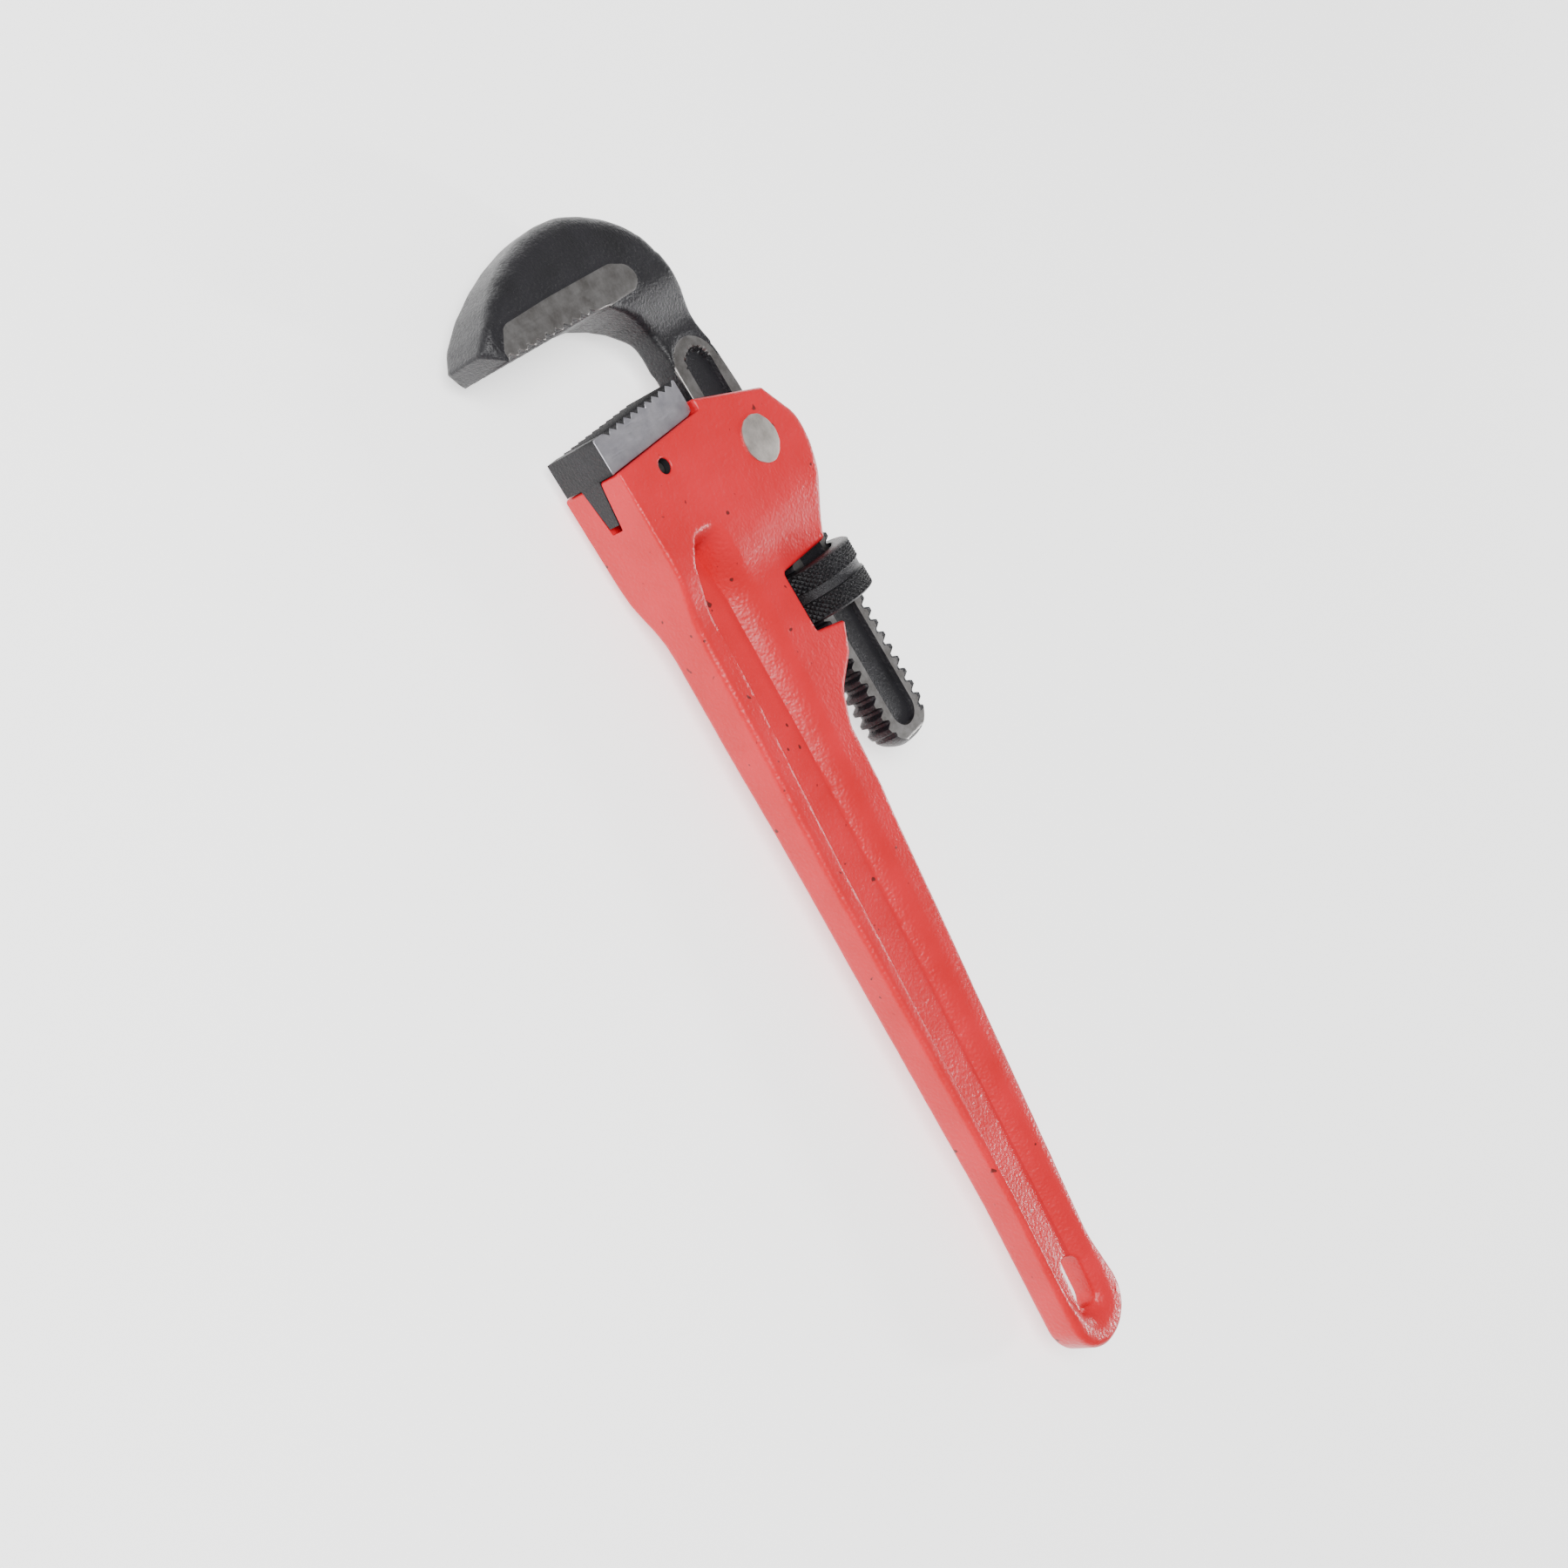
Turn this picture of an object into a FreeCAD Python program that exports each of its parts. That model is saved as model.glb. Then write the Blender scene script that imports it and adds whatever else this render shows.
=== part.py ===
"""Straight pipe wrench, nominal 18 in, lying on its side.

Working axes: X runs along the hook jaw's shank from the hook to the handle end, Y runs towards
the wrench's back, Z is square to its two flat sides. Sizes are given from the heel jaw's tooth
plane (X), the shank's axis (Y) and the middle plane (Z); each piece's Placement then moves it so
that the part stands on Z = 0 with its origin under the middle of its box.
"""

import FreeCAD, Part

import os

import Sketcher

Vector = FreeCAD.Vector
Rotation = FreeCAD.Rotation

# Single sizes in millimetres and degrees, each one a named cell of the sheet.
SIZES = (
    ("head_half", 15.4, "half thickness of the housing"),
    ("grip_half", 8.0, "half thickness of the handle"),
    ("web_half", 3.4, "half thickness of the web between the flanges"),
    ("pad_x", 32.9, "ground pad, along the shank"),
    ("pad_y", -3.1, "ground pad, across the shank"),
    ("pad_radius", 9.6, "ground pad, radius"),
    ("pad_height", 0.7, "ground pad, height above the housing's side"),
    ("slot_near_x", 362.8, "hanging slot, centre of its first round end"),
    ("slot_near_y", -78.4, "hanging slot, the same centre across"),
    ("slot_far_x", 378.2, "hanging slot, centre of its last round end"),
    ("slot_far_y", -80.6, "hanging slot, the same centre across"),
    ("slot_radius", 5.0, "hanging slot, half width"),
    ("jaw_half", 13.1, "half width of both jaws"),
    ("shank_half", 6.0, "half thickness of the shank"),
    ("shank_depth", 13.5, "half depth of the plain shank"),
    ("crest_radius", 15.0, "screw thread on the shank, crest"),
    ("root_radius", 12.2, "screw thread on the shank, root"),
    ("crest_width", 1.7, "screw thread, width of the crest"),
    ("root_width", 4.3, "screw thread, width at the root"),
    ("lead", 5.64, "screw thread, lead"),
    ("thread_start", 49.0, "screw thread, first turn on the shank"),
    ("thread_turns", 18.0, "screw thread, turns on the shank"),
    ("thread_gap", 0.35, "clearance between shank and nut threads"),
    ("shank_end", 165.0, "free end of the shank"),
    ("pocket_start", -8.5, "pocket in the shank's sides, upper end"),
    ("pocket_end", 158.0, "pocket in the shank's sides, lower end"),
    ("pocket_half", 7.4, "pocket in the shank's sides, half width"),
    ("pocket_depth", 2.2, "pocket in the shank's sides, depth"),
    ("side_gap", 0.8, "clearance between shank and channel"),
    ("nut_start", 82.2, "adjusting nut, face towards the hook"),
    ("nut_length", 21.0, "adjusting nut, length"),
    ("nut_radius", 19.6, "adjusting nut, outer radius"),
    ("nut_chamfer", 1.3, "adjusting nut, chamfer of both ends"),
    ("nut_groove_width", 4.6, "adjusting nut, plain band between the knurls"),
    ("nut_groove_depth", 1.0, "adjusting nut, depth of that band"),
    ("channel_front", -21.2, "front wall of the housing's channel"),
    ("fork_floor", -16.0, "floor of the fork below the nut"),
    ("window_front", -23.2, "front wall of the nut's window"),
    ("pin_x", 20.7, "heel jaw pin, along the shank"),
    ("pin_y", -54.9, "heel jaw pin, across the shank"),
    ("pin_radius", 2.5, "heel jaw pin, radius"),
    ("pin_length", 24.0, "heel jaw pin, length"),
    ("pin_gap", 0.04, "heel jaw pin, clearance in its holes"),
    ("tail_top_half", 5.4, "heel jaw tail, half width at the block"),
    ("tail_foot_half", 2.4, "heel jaw tail, half width at its foot"),
    ("tail_foot_x", 29.6, "heel jaw tail, foot"),
    ("tail_back_y", -34.0, "heel jaw tail, back end"),
    ("tail_gap", 0.35, "clearance around the heel jaw tail"),
    ("tail_slot_x", 32.0, "bottom of the slot that takes the tail"),
    ("heel_pitch", 4.5, "heel jaw teeth, pitch"),
    ("hook_pitch", 5.1, "hook jaw teeth, pitch"),
    ("tooth_depth", 2.0, "jaw teeth, depth"),
    ("tooth_steep", 0.34, "jaw teeth, share of the pitch that the steep side takes"),
    ("leaf_start", 22.0, "flat spring, free end"),
    ("leaf_end", 70.0, "flat spring, hooked end"),
    ("leaf_back", -15.3, "flat spring, face against the shank"),
    ("leaf_thickness", 1.0, "flat spring, thickness"),
    ("leaf_half", 5.0, "flat spring, half width"),
    ("leaf_hook", 7.2, "flat spring, length of the hooked end"),
    ("hook_groove", 2.6, "room for the hooked end, each way"),
    ("coil_x", 52.0, "coil spring, along the shank"),
    ("coil_radius", 3.6, "coil spring, mean radius"),
    ("coil_wire", 0.6, "coil spring, wire radius"),
    ("coil_turns", 6.0, "coil spring, turns"),
    ("coil_floor", -33.0, "bottom of the coil spring's pocket"),
    ("coil_pocket", 5.4, "radius of the coil spring's pocket"),
    ("coil_gap", 0.2, "coil spring, gap at each end"),
    ("rivet_peg", 2.5, "spring rivet, radius inside the coil"),
    ("rivet_stem", 1.2, "spring rivet, radius in the leaf"),
    ("rivet_length", 4.0, "spring rivet, length inside the coil"),
    ("rivet_gap", 0.05, "clearance of the rivet in the leaf"),
)

# Corners of the outlines: name, first and second coordinate, and the corner's rounding (0: sharp).
HANDLE_SIDE = (
    ("seat_front", 13.6, -77.0, 1.5), ("belly", 80.0, -78.2, 0.0), ("grip_front", 180.0, -84.2, 0.0),
    ("neck_front", 322.0, -91.4, 0.0), ("end_front", 397.0, -99.5, 17.0), ("end_rear", 397.0, -61.5, 17.0),
    ("flare_rear", 360.0, -64.0, 60.0), ("grip_rear", 165.0, -33.2, 60.0), ("waist_low", 141.0, -31.6, 12.0),
    ("waist_high", 129.0, -25.8, 8.0), ("hump_low", 119.5, -12.4, 5.0), ("hump_top", 108.2, -6.3, 1.2),
    ("ledge", 104.4, -23.2, 1.5), ("window_top", 79.0, -23.2, 1.5), ("rear_low", 79.0, 7.5, 2.5),
    ("rear_mid", 57.5, 19.8, 25.0), ("rear_high", 43.0, 25.0, 12.0), ("rear_top", 32.0, 25.0, 8.0),
    ("crown_rear", 17.3, 13.6, 1.0), ("crown_front", 6.6, -24.3, 0.8), ("seat_back", 11.3, -24.3, 0.8),
)
HANDLE_PLAN = (
    ("plan_head", -10.0, 15.4, 0.0), ("plan_shoulder", 58.0, 15.4, 0.0), ("plan_waist", 75.0, 10.6, 0.0),
    ("plan_neck", 102.0, 9.6, 0.0), ("plan_grip", 165.0, 8.0, 0.0), ("plan_end", 400.0, 8.0, 0.0),
)
RECESS_RIM = (
    ("rim_top_rear", 45.6, -46.0), ("rim_shoulder", 74.0, -34.4), ("rim_waist", 137.0, -42.6),
    ("rim_grip", 215.0, -49.8), ("rim_neck", 366.0, -67.4), ("rim_end_rear", 390.0, -71.0),
    ("rim_end_front", 390.0, -89.5), ("rim_flare", 371.0, -94.6), ("rim_front", 320.0, -88.9),
    ("rim_belly", 102.0, -70.0), ("rim_head", 56.0, -68.4), ("rim_top_front", 45.6, -60.0),
)
RECESS_FLOOR = (
    ("floor_top_rear", 56.0, -52.5), ("floor_shoulder", 74.0, -51.2), ("floor_waist", 137.0, -54.0),
    ("floor_grip", 215.0, -61.3), ("floor_neck", 358.0, -74.8), ("floor_end_rear", 382.0, -77.5),
    ("floor_end_front", 382.0, -86.6), ("floor_flare", 366.0, -88.0), ("floor_front", 320.0, -84.6),
    ("floor_belly", 102.0, -67.0), ("floor_head", 62.0, -65.6), ("floor_top_front", 56.0, -60.0),
)
HOOK_HEAD = (
    ("hook_front", -37.0, -100.2, 0.8), ("hook_nose", -43.0, -100.2, 3.0),
    ("hook_cheek", -60.5, -79.5, 20.0),
    ("hook_brow", -73.2, -53.0, 22.0), ("hook_crown", -73.2, -22.0, 24.0), ("hook_nape", -54.0, 5.4, 14.0),
    ("hook_back", -37.0, 10.4, 20.0), ("hook_neck", 2.0, 13.5, 0.0), ("shank_back", 20.0, 13.5, 0.0),
    ("shank_front", 20.0, -13.5, 0.0), ("throat_low", -13.0, -13.5, 8.0),
    ("throat_high", -29.5, -19.0, 8.0),
    ("throat_end", -37.0, -33.0, 2.0),
)
HOOK_PLAN = (
    ("cheek_top", -80.0, 13.1, 0.0), ("cheek_low", -36.0, 13.1, 0.0), ("neck_high", -27.0, 9.2, 0.0),
    ("neck_low", -19.0, 6.7, 0.0), ("shank_side", -10.0, 6.0, 0.0), ("shank_foot", 21.0, 6.0, 0.0),
)
HEEL_BLOCK = (
    ("heel_front", -0.3, -77.6), ("heel_front_foot", 13.4, -77.6), ("heel_back_foot", 11.1, -25.0),
    ("heel_back", -2.8, -25.0),
)

doc = FreeCAD.newDocument("PipeWrench")
sheet = doc.addObject("Spreadsheet::Sheet", "Sizes")


def fill_sheet():
    """Write every size and every outline corner into the sheet, one named cell each."""
    rows = list(SIZES)
    for corners in (HANDLE_SIDE, HANDLE_PLAN, RECESS_RIM, RECESS_FLOOR, HOOK_HEAD, HOOK_PLAN, HEEL_BLOCK):
        for corner in corners:
            rows.append((corner[0] + "_a", corner[1], "outline corner, first coordinate"))
            rows.append((corner[0] + "_b", corner[2], "outline corner, second coordinate"))
    for number, (alias, value, meaning) in enumerate(rows, start=1):
        sheet.set("A%d" % number, meaning)
        sheet.set("B%d" % number, str(value))
        sheet.setAlias("B%d" % number, alias)
    doc.recompute()


def size(alias):
    """The number in a named cell of the sheet."""
    return float(sheet.get(alias))


def bind(item, **expressions):
    """Bind properties of an object to expressions; a double underscore stands for a dot."""
    for name, expression in expressions.items():
        item.setExpression(name.replace("__", "."), expression)
    return item


def outline(name, corners, plane="XY", height="0", mirrored=False):
    """A closed sketch through named corners, each corner bound to its two cells.

    A mirrored outline runs back along the same corners on the other side of the first axis.
    """
    places = [("Sizes.%s_a" % corner[0], "Sizes.%s_b" % corner[0]) for corner in corners]
    if mirrored:
        places += [(first, "-" + second) for first, second in reversed(places)]
    return sketch(name, places, plane, height)


def sketch(name, places, plane="XY", height="0"):
    """A closed sketch of straight edges whose corners are pairs of expressions."""
    item = doc.addObject("Sketcher::SketchObject", name)
    if plane == "XZ":
        item.Placement.Rotation = Rotation(Vector(1, 0, 0), 90)
        item.setExpression(".Placement.Base.y", height)
    elif plane == "YZ":
        item.Placement.Rotation = Rotation(Vector(1, 1, 1), 120)
        item.setExpression(".Placement.Base.x", height)
    else:
        item.setExpression(".Placement.Base.z", height)
    points = [Vector(float(item.evalExpression(a)), float(item.evalExpression(b)), 0) for a, b in places]
    for start, end in zip(points, points[1:] + points[:1]):
        item.addGeometry(Part.LineSegment(start, end))
    for index in range(len(points)):
        item.addConstraint(Sketcher.Constraint("Coincident", index, 2, (index + 1) % len(points), 1))
    for index, (point, place) in enumerate(zip(points, places)):
        for kind, value, expression in (("DistanceX", point.x, place[0]), ("DistanceY", point.y, place[1])):
            number = item.addConstraint(Sketcher.Constraint(kind, -1, 1, index, 1, value))
            item.renameConstraint(number, "%s_%d" % (kind, index))
            item.setExpression("Constraints.%s_%d" % (kind, index), expression)
    return item


def extrude(name, base, length, symmetric=True):
    """A solid made by moving a sketch along its normal."""
    item = doc.addObject("Part::Extrusion", name)
    item.Base = base
    item.DirMode = "Normal"
    item.Solid = True
    item.Symmetric = symmetric
    return bind(item, LengthFwd=length)


def box(name, low, high):
    """A box between two corners given as expressions."""
    item = doc.addObject("Part::Box", name)
    for axis, edge, first, last in zip("xyz", ("Length", "Width", "Height"), low, high):
        item.setExpression(".Placement.Base." + axis, first)
        item.setExpression(edge, "(%s) - (%s)" % (last, first))
    return item


def cylinder(name, radius, length, base=("0", "0", "0"), axis="Z"):
    """A cylinder that starts at base and runs along an axis."""
    item = doc.addObject("Part::Cylinder", name)
    turns = {"X": Rotation(Vector(0, 1, 0), 90), "Y": Rotation(Vector(1, 0, 0), -90), "Z": Rotation()}
    item.Placement.Rotation = turns[axis]
    for letter, expression in zip("xyz", base):
        item.setExpression(".Placement.Base." + letter, expression)
    return bind(item, Radius=radius, Height=length)


def join(name, *pieces):
    """One solid from several that touch."""
    item = doc.addObject("Part::MultiFuse", name)
    item.Shapes = list(pieces)
    item.Refine = True
    return item


def common(name, *pieces):
    """What several solids share."""
    item = doc.addObject("Part::MultiCommon", name)
    item.Shapes = list(pieces)
    return item


def cut(name, base, *tools):
    """A solid with others taken away."""
    for number, tool in enumerate(tools, start=1):
        item = doc.addObject("Part::Cut", name if number == len(tools) else "%s_%d" % (name, number))
        item.Base = base
        item.Tool = tool
        base = item
    return base


def round_corners(name, base, corners):
    """Round the upright edges of an extruded outline at the corners that have a rounding."""
    doc.recompute()
    chosen = []
    for number, edge in enumerate(base.Shape.Edges, start=1):
        box_ = edge.BoundBox
        if box_.ZLength < 1 or box_.XLength + box_.YLength > 0.01:
            continue
        for corner in corners:
            if abs(box_.XMin - size(corner[0] + "_a")) + abs(box_.YMin - size(corner[0] + "_b")) < 0.01:
                if corner[3] > 0:
                    chosen.append((number, corner[3], corner[3]))
    item = doc.addObject("Part::Fillet", name)
    item.Base = base
    item.Edges = chosen
    return item


def thread(name, gap, turns, start):
    """A screw thread's ridge along local Z: a four-sided profile swept along a helix."""
    helix = doc.addObject("Part::Helix", name + "_path")
    helix.LocalCoord = 0
    helix.Placement.Base = Vector(0, 0, 0)
    bind(helix, Pitch="Sizes.lead", Height="Sizes.lead * %s" % turns, Radius="Sizes.root_radius")
    helix.setExpression(".Placement.Base.z", start)
    foot = "(Sizes.root_width / 2 + %s + 0.15)" % gap
    tip = "(Sizes.crest_width / 2 + %s)" % gap
    low = "(Sizes.root_radius - 0.6)"
    high = "(Sizes.crest_radius + %s)" % gap
    corners = [(low, "-" + foot), (high, "-" + tip), (high, tip), (low, foot)]
    profile = sketch(name + "_profile", corners, "XZ")
    profile.setExpression(".Placement.Base.z", start)
    item = doc.addObject("Part::Sweep", name)
    item.Sections = [profile]
    item.Spine = (helix, [])
    item.Solid = True
    item.Frenet = True
    return item


def finish(item, label, turn=Rotation(), x="0", y="0", z="0"):
    """Name a sub-part and give it the Placement that puts it on the part's own origin."""
    item.Label = label
    item.Placement.Rotation = turn
    item.setExpression(".Placement.Base.x", x + " - (Sizes.hook_crown_a + Sizes.end_front_a) / 2")
    item.setExpression(".Placement.Base.y", y + " - (Sizes.hook_front_b + Sizes.rear_high_b) / 2")
    item.setExpression(".Placement.Base.z", z + " + Sizes.nut_radius")
    return item


def make_handle():
    """The casting: housing and handle in one, with recessed sides, channel, window and fork."""
    side = outline("handle_side", HANDLE_SIDE)
    blank = round_corners("handle_blank", extrude("handle_slab", side, "Sizes.head_half * 2"), HANDLE_SIDE)
    plan = outline("handle_plan", HANDLE_PLAN, "XZ", mirrored=True)
    taper = common("handle_taper", blank, extrude("handle_wedge", plan, "240"))
    pad = cylinder("ground_pad", "Sizes.pad_radius", "(Sizes.head_half + Sizes.pad_height) * 2",
                   ("Sizes.pad_x", "Sizes.pad_y", "-Sizes.head_half - Sizes.pad_height"))
    body = join("handle_body", taper, pad)
    tools = [make_recess("near", 1), make_recess("far", -1)]
    half = "(Sizes.shank_half + Sizes.side_gap)"
    tools.append(box("channel", ("-20", "Sizes.channel_front", "-" + half),
                     ("Sizes.window_top_a + 1", "Sizes.crest_radius + Sizes.side_gap", half)))
    tools.append(box("fork", ("Sizes.window_top_a - 1", "Sizes.fork_floor", "-" + half),
                     ("Sizes.shank_end + 10", "60", half)))
    tools.append(make_tail("tail_slot", "Sizes.tail_gap", "Sizes.tail_slot_x", "-90",
                           "Sizes.tail_back_y + 1"))
    tools.append(make_pin_hole("pin_hole"))
    tools.append(cylinder("coil_hole", "Sizes.coil_pocket", "Sizes.channel_front + 1 - Sizes.coil_floor",
                          ("Sizes.coil_x", "Sizes.coil_floor", "0"), "Y"))
    tools.append(box("hook_room",
                     ("Sizes.leaf_end - Sizes.leaf_thickness - Sizes.hook_groove / 2",
                      "Sizes.channel_front - Sizes.hook_groove - 1.2", "-Sizes.leaf_half - 0.5"),
                     ("Sizes.leaf_end + Sizes.hook_groove", "Sizes.channel_front + 1",
                      "Sizes.leaf_half + 0.5")))
    tools.append(make_slot())
    return finish(cut("handle_casting", body, *tools), "handle")


def make_recess(side, sign):
    """The long hollow on one side of the handle: sloping walls from the rim down to the web."""
    rim_height = "(Sizes.grip_half + 1.5)"
    floor = outline("floor_" + side, RECESS_FLOOR, height="%d * Sizes.web_half" % sign)
    rim = outline("rim_" + side, RECESS_RIM, height="%d * %s" % (sign, rim_height))
    walls = doc.addObject("Part::Loft", "walls_" + side)
    walls.Sections = [floor, rim]
    walls.Solid = True
    walls.Ruled = True
    upper = extrude("above_" + side, rim, "%d * 12" % sign, symmetric=False)
    return join("recess_" + side, walls, upper)


def make_pin_hole(name):
    """The heel jaw pin's round hole, straight through from side to side."""
    place = ("Sizes.pin_x", "Sizes.pin_y", "-30")
    return cylinder(name, "Sizes.pin_radius + Sizes.pin_gap", "60", place)


def make_slot():
    """The hanging slot through the end of the handle: two round holes and what lies between."""
    near = cylinder("slot_near", "Sizes.slot_radius", "60", ("Sizes.slot_near_x", "Sizes.slot_near_y", "-30"))
    far = cylinder("slot_far", "Sizes.slot_radius", "60", ("Sizes.slot_far_x", "Sizes.slot_far_y", "-30"))
    middle = sketch("slot_middle", [
        ("Sizes.slot_near_x", "Sizes.slot_near_y - Sizes.slot_radius"),
        ("Sizes.slot_far_x", "Sizes.slot_far_y - Sizes.slot_radius"),
        ("Sizes.slot_far_x", "Sizes.slot_far_y + Sizes.slot_radius"),
        ("Sizes.slot_near_x", "Sizes.slot_near_y + Sizes.slot_radius")])
    return join("hanging_slot", near, far, extrude("slot_bridge", middle, "60"))


def make_tail(name, gap, foot, front, back):
    """The heel jaw's tapering tail, or with a gap the slot that takes it."""
    top = "Sizes.heel_back_foot_a - 2"
    profile = sketch(name + "_profile", [
        (top, "Sizes.tail_top_half + " + gap), (foot, "Sizes.tail_foot_half + " + gap),
        (foot, "-Sizes.tail_foot_half - " + gap), (top, "-Sizes.tail_top_half - " + gap)], "XZ", back)
    return extrude(name, profile, "(%s) - (%s)" % (back, front), symmetric=False)


def tooth_row(name, start, end, pitch, count):
    """A row of ratchet-shaped notches across both jaws, cut along the line from start to end.

    Each notch falls steeply from its first tip and rises gently to the next.
    """
    along = (end - start).normalize()
    inward = Vector(-along.y, along.x, 0) * size("tooth_depth")
    notches = []
    for index in range(count):
        first = start + along * (index * pitch)
        last = first + along * pitch
        root = first + along * (size("tooth_steep") * pitch) + inward
        notches.append(Part.Face(Part.makePolygon([first, last, root, first])).extrude(Vector(0, 0, 60)))
    item = doc.addObject("Part::Feature", name)
    item.Shape = notches[0].multiFuse(notches[1:])
    item.Placement = FreeCAD.Placement(Vector(0, 0, -30), Rotation())
    return item


def make_heel_jaw():
    """The heel jaw: a toothed block on the housing, with a tail that the pin holds in its slot."""
    block = extrude("heel_slab", outline("heel_side", HEEL_BLOCK), "Sizes.jaw_half * 2")
    tail = make_tail("tail", "0", "Sizes.tail_foot_x", "Sizes.heel_front_b", "Sizes.tail_back_y")
    hole = make_pin_hole("tail_hole")
    back = Vector(size("heel_back_a"), size("heel_back_b"), 0)
    front = Vector(size("heel_front_a"), size("heel_front_b"), 0)
    teeth = tooth_row("heel_notches", back + (front - back) * 0.03, front, size("heel_pitch"), 10)
    return finish(cut("heel_jaw_cut", join("heel_jaw_body", block, tail), hole, teeth), "heel_jaw")


def make_pin():
    """The pin through housing and tail, sunk below both sides."""
    pin = cylinder("heel_pin", "Sizes.pin_radius", "Sizes.pin_length")
    return finish(pin, "heel_jaw_pin", x="Sizes.pin_x", y="Sizes.pin_y", z="-Sizes.pin_length / 2")


def make_hook_jaw():
    """The hook jaw: toothed hook, neck and long flat-sided shank with thread on both edges."""
    slab = extrude("hook_slab", outline("hook_side", HOOK_HEAD), "Sizes.jaw_half * 2")
    blank = round_corners("hook_blank", slab, HOOK_HEAD)
    plan = outline("hook_plan", HOOK_PLAN, "XZ", mirrored=True)
    head = common("hook_head", blank, extrude("hook_wedge", plan, "300"))
    start = Vector(-37.0, -35.0, 0)
    end = Vector(-37.0, -92.0, 0)
    teeth = tooth_row("hook_notches", end, start, size("hook_pitch"), 10)
    half = "Sizes.shank_half"
    plain = box("plain_shank", ("10", "-Sizes.shank_depth", "-" + half),
                ("Sizes.thread_start", "Sizes.shank_depth", half))
    core = cylinder("core", "Sizes.root_radius", "Sizes.shank_end - 20", ("20", "0", "0"), "X")
    ridge = thread("shank_thread", "0", "Sizes.thread_turns", "0")
    ridge.Placement.Rotation = Rotation(Vector(0, 1, 0), 90)
    ridge.setExpression(".Placement.Base.x", "Sizes.thread_start")
    screw = join("screw", core, ridge)
    round_start = "Sizes.shank_end - Sizes.crest_radius"
    straight = box("shank_slice", ("20", "-20", "-" + half), (round_start, "20", half))
    rounded = cylinder("shank_tip", "Sizes.crest_radius", half + " * 2", (round_start, "0", "-" + half))
    threaded = common("threaded_shank", screw, join("shank_shape", straight, rounded))
    jaw = join("hook_body", cut("hook_toothed", head, teeth), plain, threaded)
    pockets = [make_pocket("near", 1), make_pocket("far", -1)]
    return finish(cut("hook_jaw_cut", jaw, *pockets), "hook_jaw")


def make_pocket(side, sign):
    """The long round-ended pocket in one side of the shank."""
    low = "%d * Sizes.shank_half - Sizes.pocket_depth" % sign
    high = low + " + Sizes.pocket_depth * 2"
    parts = []
    for end, place in (("upper", "Sizes.pocket_start + Sizes.pocket_half"),
                       ("lower", "Sizes.pocket_end - Sizes.pocket_half")):
        parts.append(cylinder("pocket_%s_%s" % (end, side), "Sizes.pocket_half", "Sizes.pocket_depth * 2",
                              (place, "0", low)))
    parts.append(box("pocket_middle_" + side,
                     ("Sizes.pocket_start + Sizes.pocket_half", "-Sizes.pocket_half", low),
                     ("Sizes.pocket_end - Sizes.pocket_half", "Sizes.pocket_half", high)))
    return join("pocket_" + side, *parts)


def make_nut():
    """The adjusting nut: two bands with a plain groove between, and a screw thread inside."""
    blank = cylinder("nut_blank", "Sizes.nut_radius", "Sizes.nut_length")
    doc.recompute()
    ends = [(number, size("nut_chamfer"), size("nut_chamfer"))
            for number, edge in enumerate(blank.Shape.Edges, start=1) if edge.BoundBox.ZLength < 1]
    chamfered = doc.addObject("Part::Chamfer", "nut_chamfered")
    chamfered.Base = blank
    chamfered.Edges = ends
    low = "(Sizes.nut_length - Sizes.nut_groove_width) / 2"
    outer = cylinder("band_outer", "Sizes.nut_radius + 1", "Sizes.nut_groove_width", ("0", "0", low))
    inner = cylinder("band_inner", "Sizes.nut_radius - Sizes.nut_groove_depth", "Sizes.nut_groove_width",
                     ("0", "0", low))
    bore = cylinder("nut_bore", "Sizes.root_radius + Sizes.thread_gap", "Sizes.nut_length + 2",
                    ("0", "0", "-1"))
    # The groove starts a whole number of turns from the shank's thread, so the two are in mesh.
    phase = "Sizes.thread_start - Sizes.nut_start + 5 * Sizes.lead"
    groove = thread("nut_thread", "Sizes.thread_gap", "6", phase)
    nut = cut("nut_cut", chamfered, cut("band", outer, inner), groove, bore)
    return finish(nut, "adjusting_nut", Rotation(Vector(0, 1, 0), 90), x="Sizes.nut_start")


def make_flat_spring():
    """The flat spring along the shank's front edge, hooked into the housing at its lower end."""
    end = ("Sizes.leaf_end", "Sizes.leaf_back", "Sizes.leaf_half")
    strip = box("leaf_strip",
                ("Sizes.leaf_start", "Sizes.leaf_back - Sizes.leaf_thickness", "-Sizes.leaf_half"), end)
    hook = box("leaf_foot",
               ("Sizes.leaf_end - Sizes.leaf_thickness", "Sizes.leaf_back - Sizes.leaf_hook",
                "-Sizes.leaf_half"), end)
    hole = cylinder("leaf_hole", "Sizes.rivet_stem + Sizes.rivet_gap", "10",
                    ("Sizes.coil_x", "Sizes.leaf_back - 5", "0"), "Y")
    return finish(cut("leaf_cut", join("leaf_body", strip, hook), hole), "flat_spring")


def make_rivet():
    """The rivet that holds the coil spring to the flat spring."""
    face = "Sizes.leaf_back - Sizes.leaf_thickness"
    stem = cylinder("rivet_shaft", "Sizes.rivet_stem", "Sizes.leaf_thickness + 1",
                    ("Sizes.coil_x", face + " - 1", "0"), "Y")
    peg = cylinder("rivet_head", "Sizes.rivet_peg", "Sizes.rivet_length",
                   ("Sizes.coil_x", face + " - Sizes.rivet_length", "0"), "Y")
    return finish(join("rivet_body", stem, peg), "spring_rivet")


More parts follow.
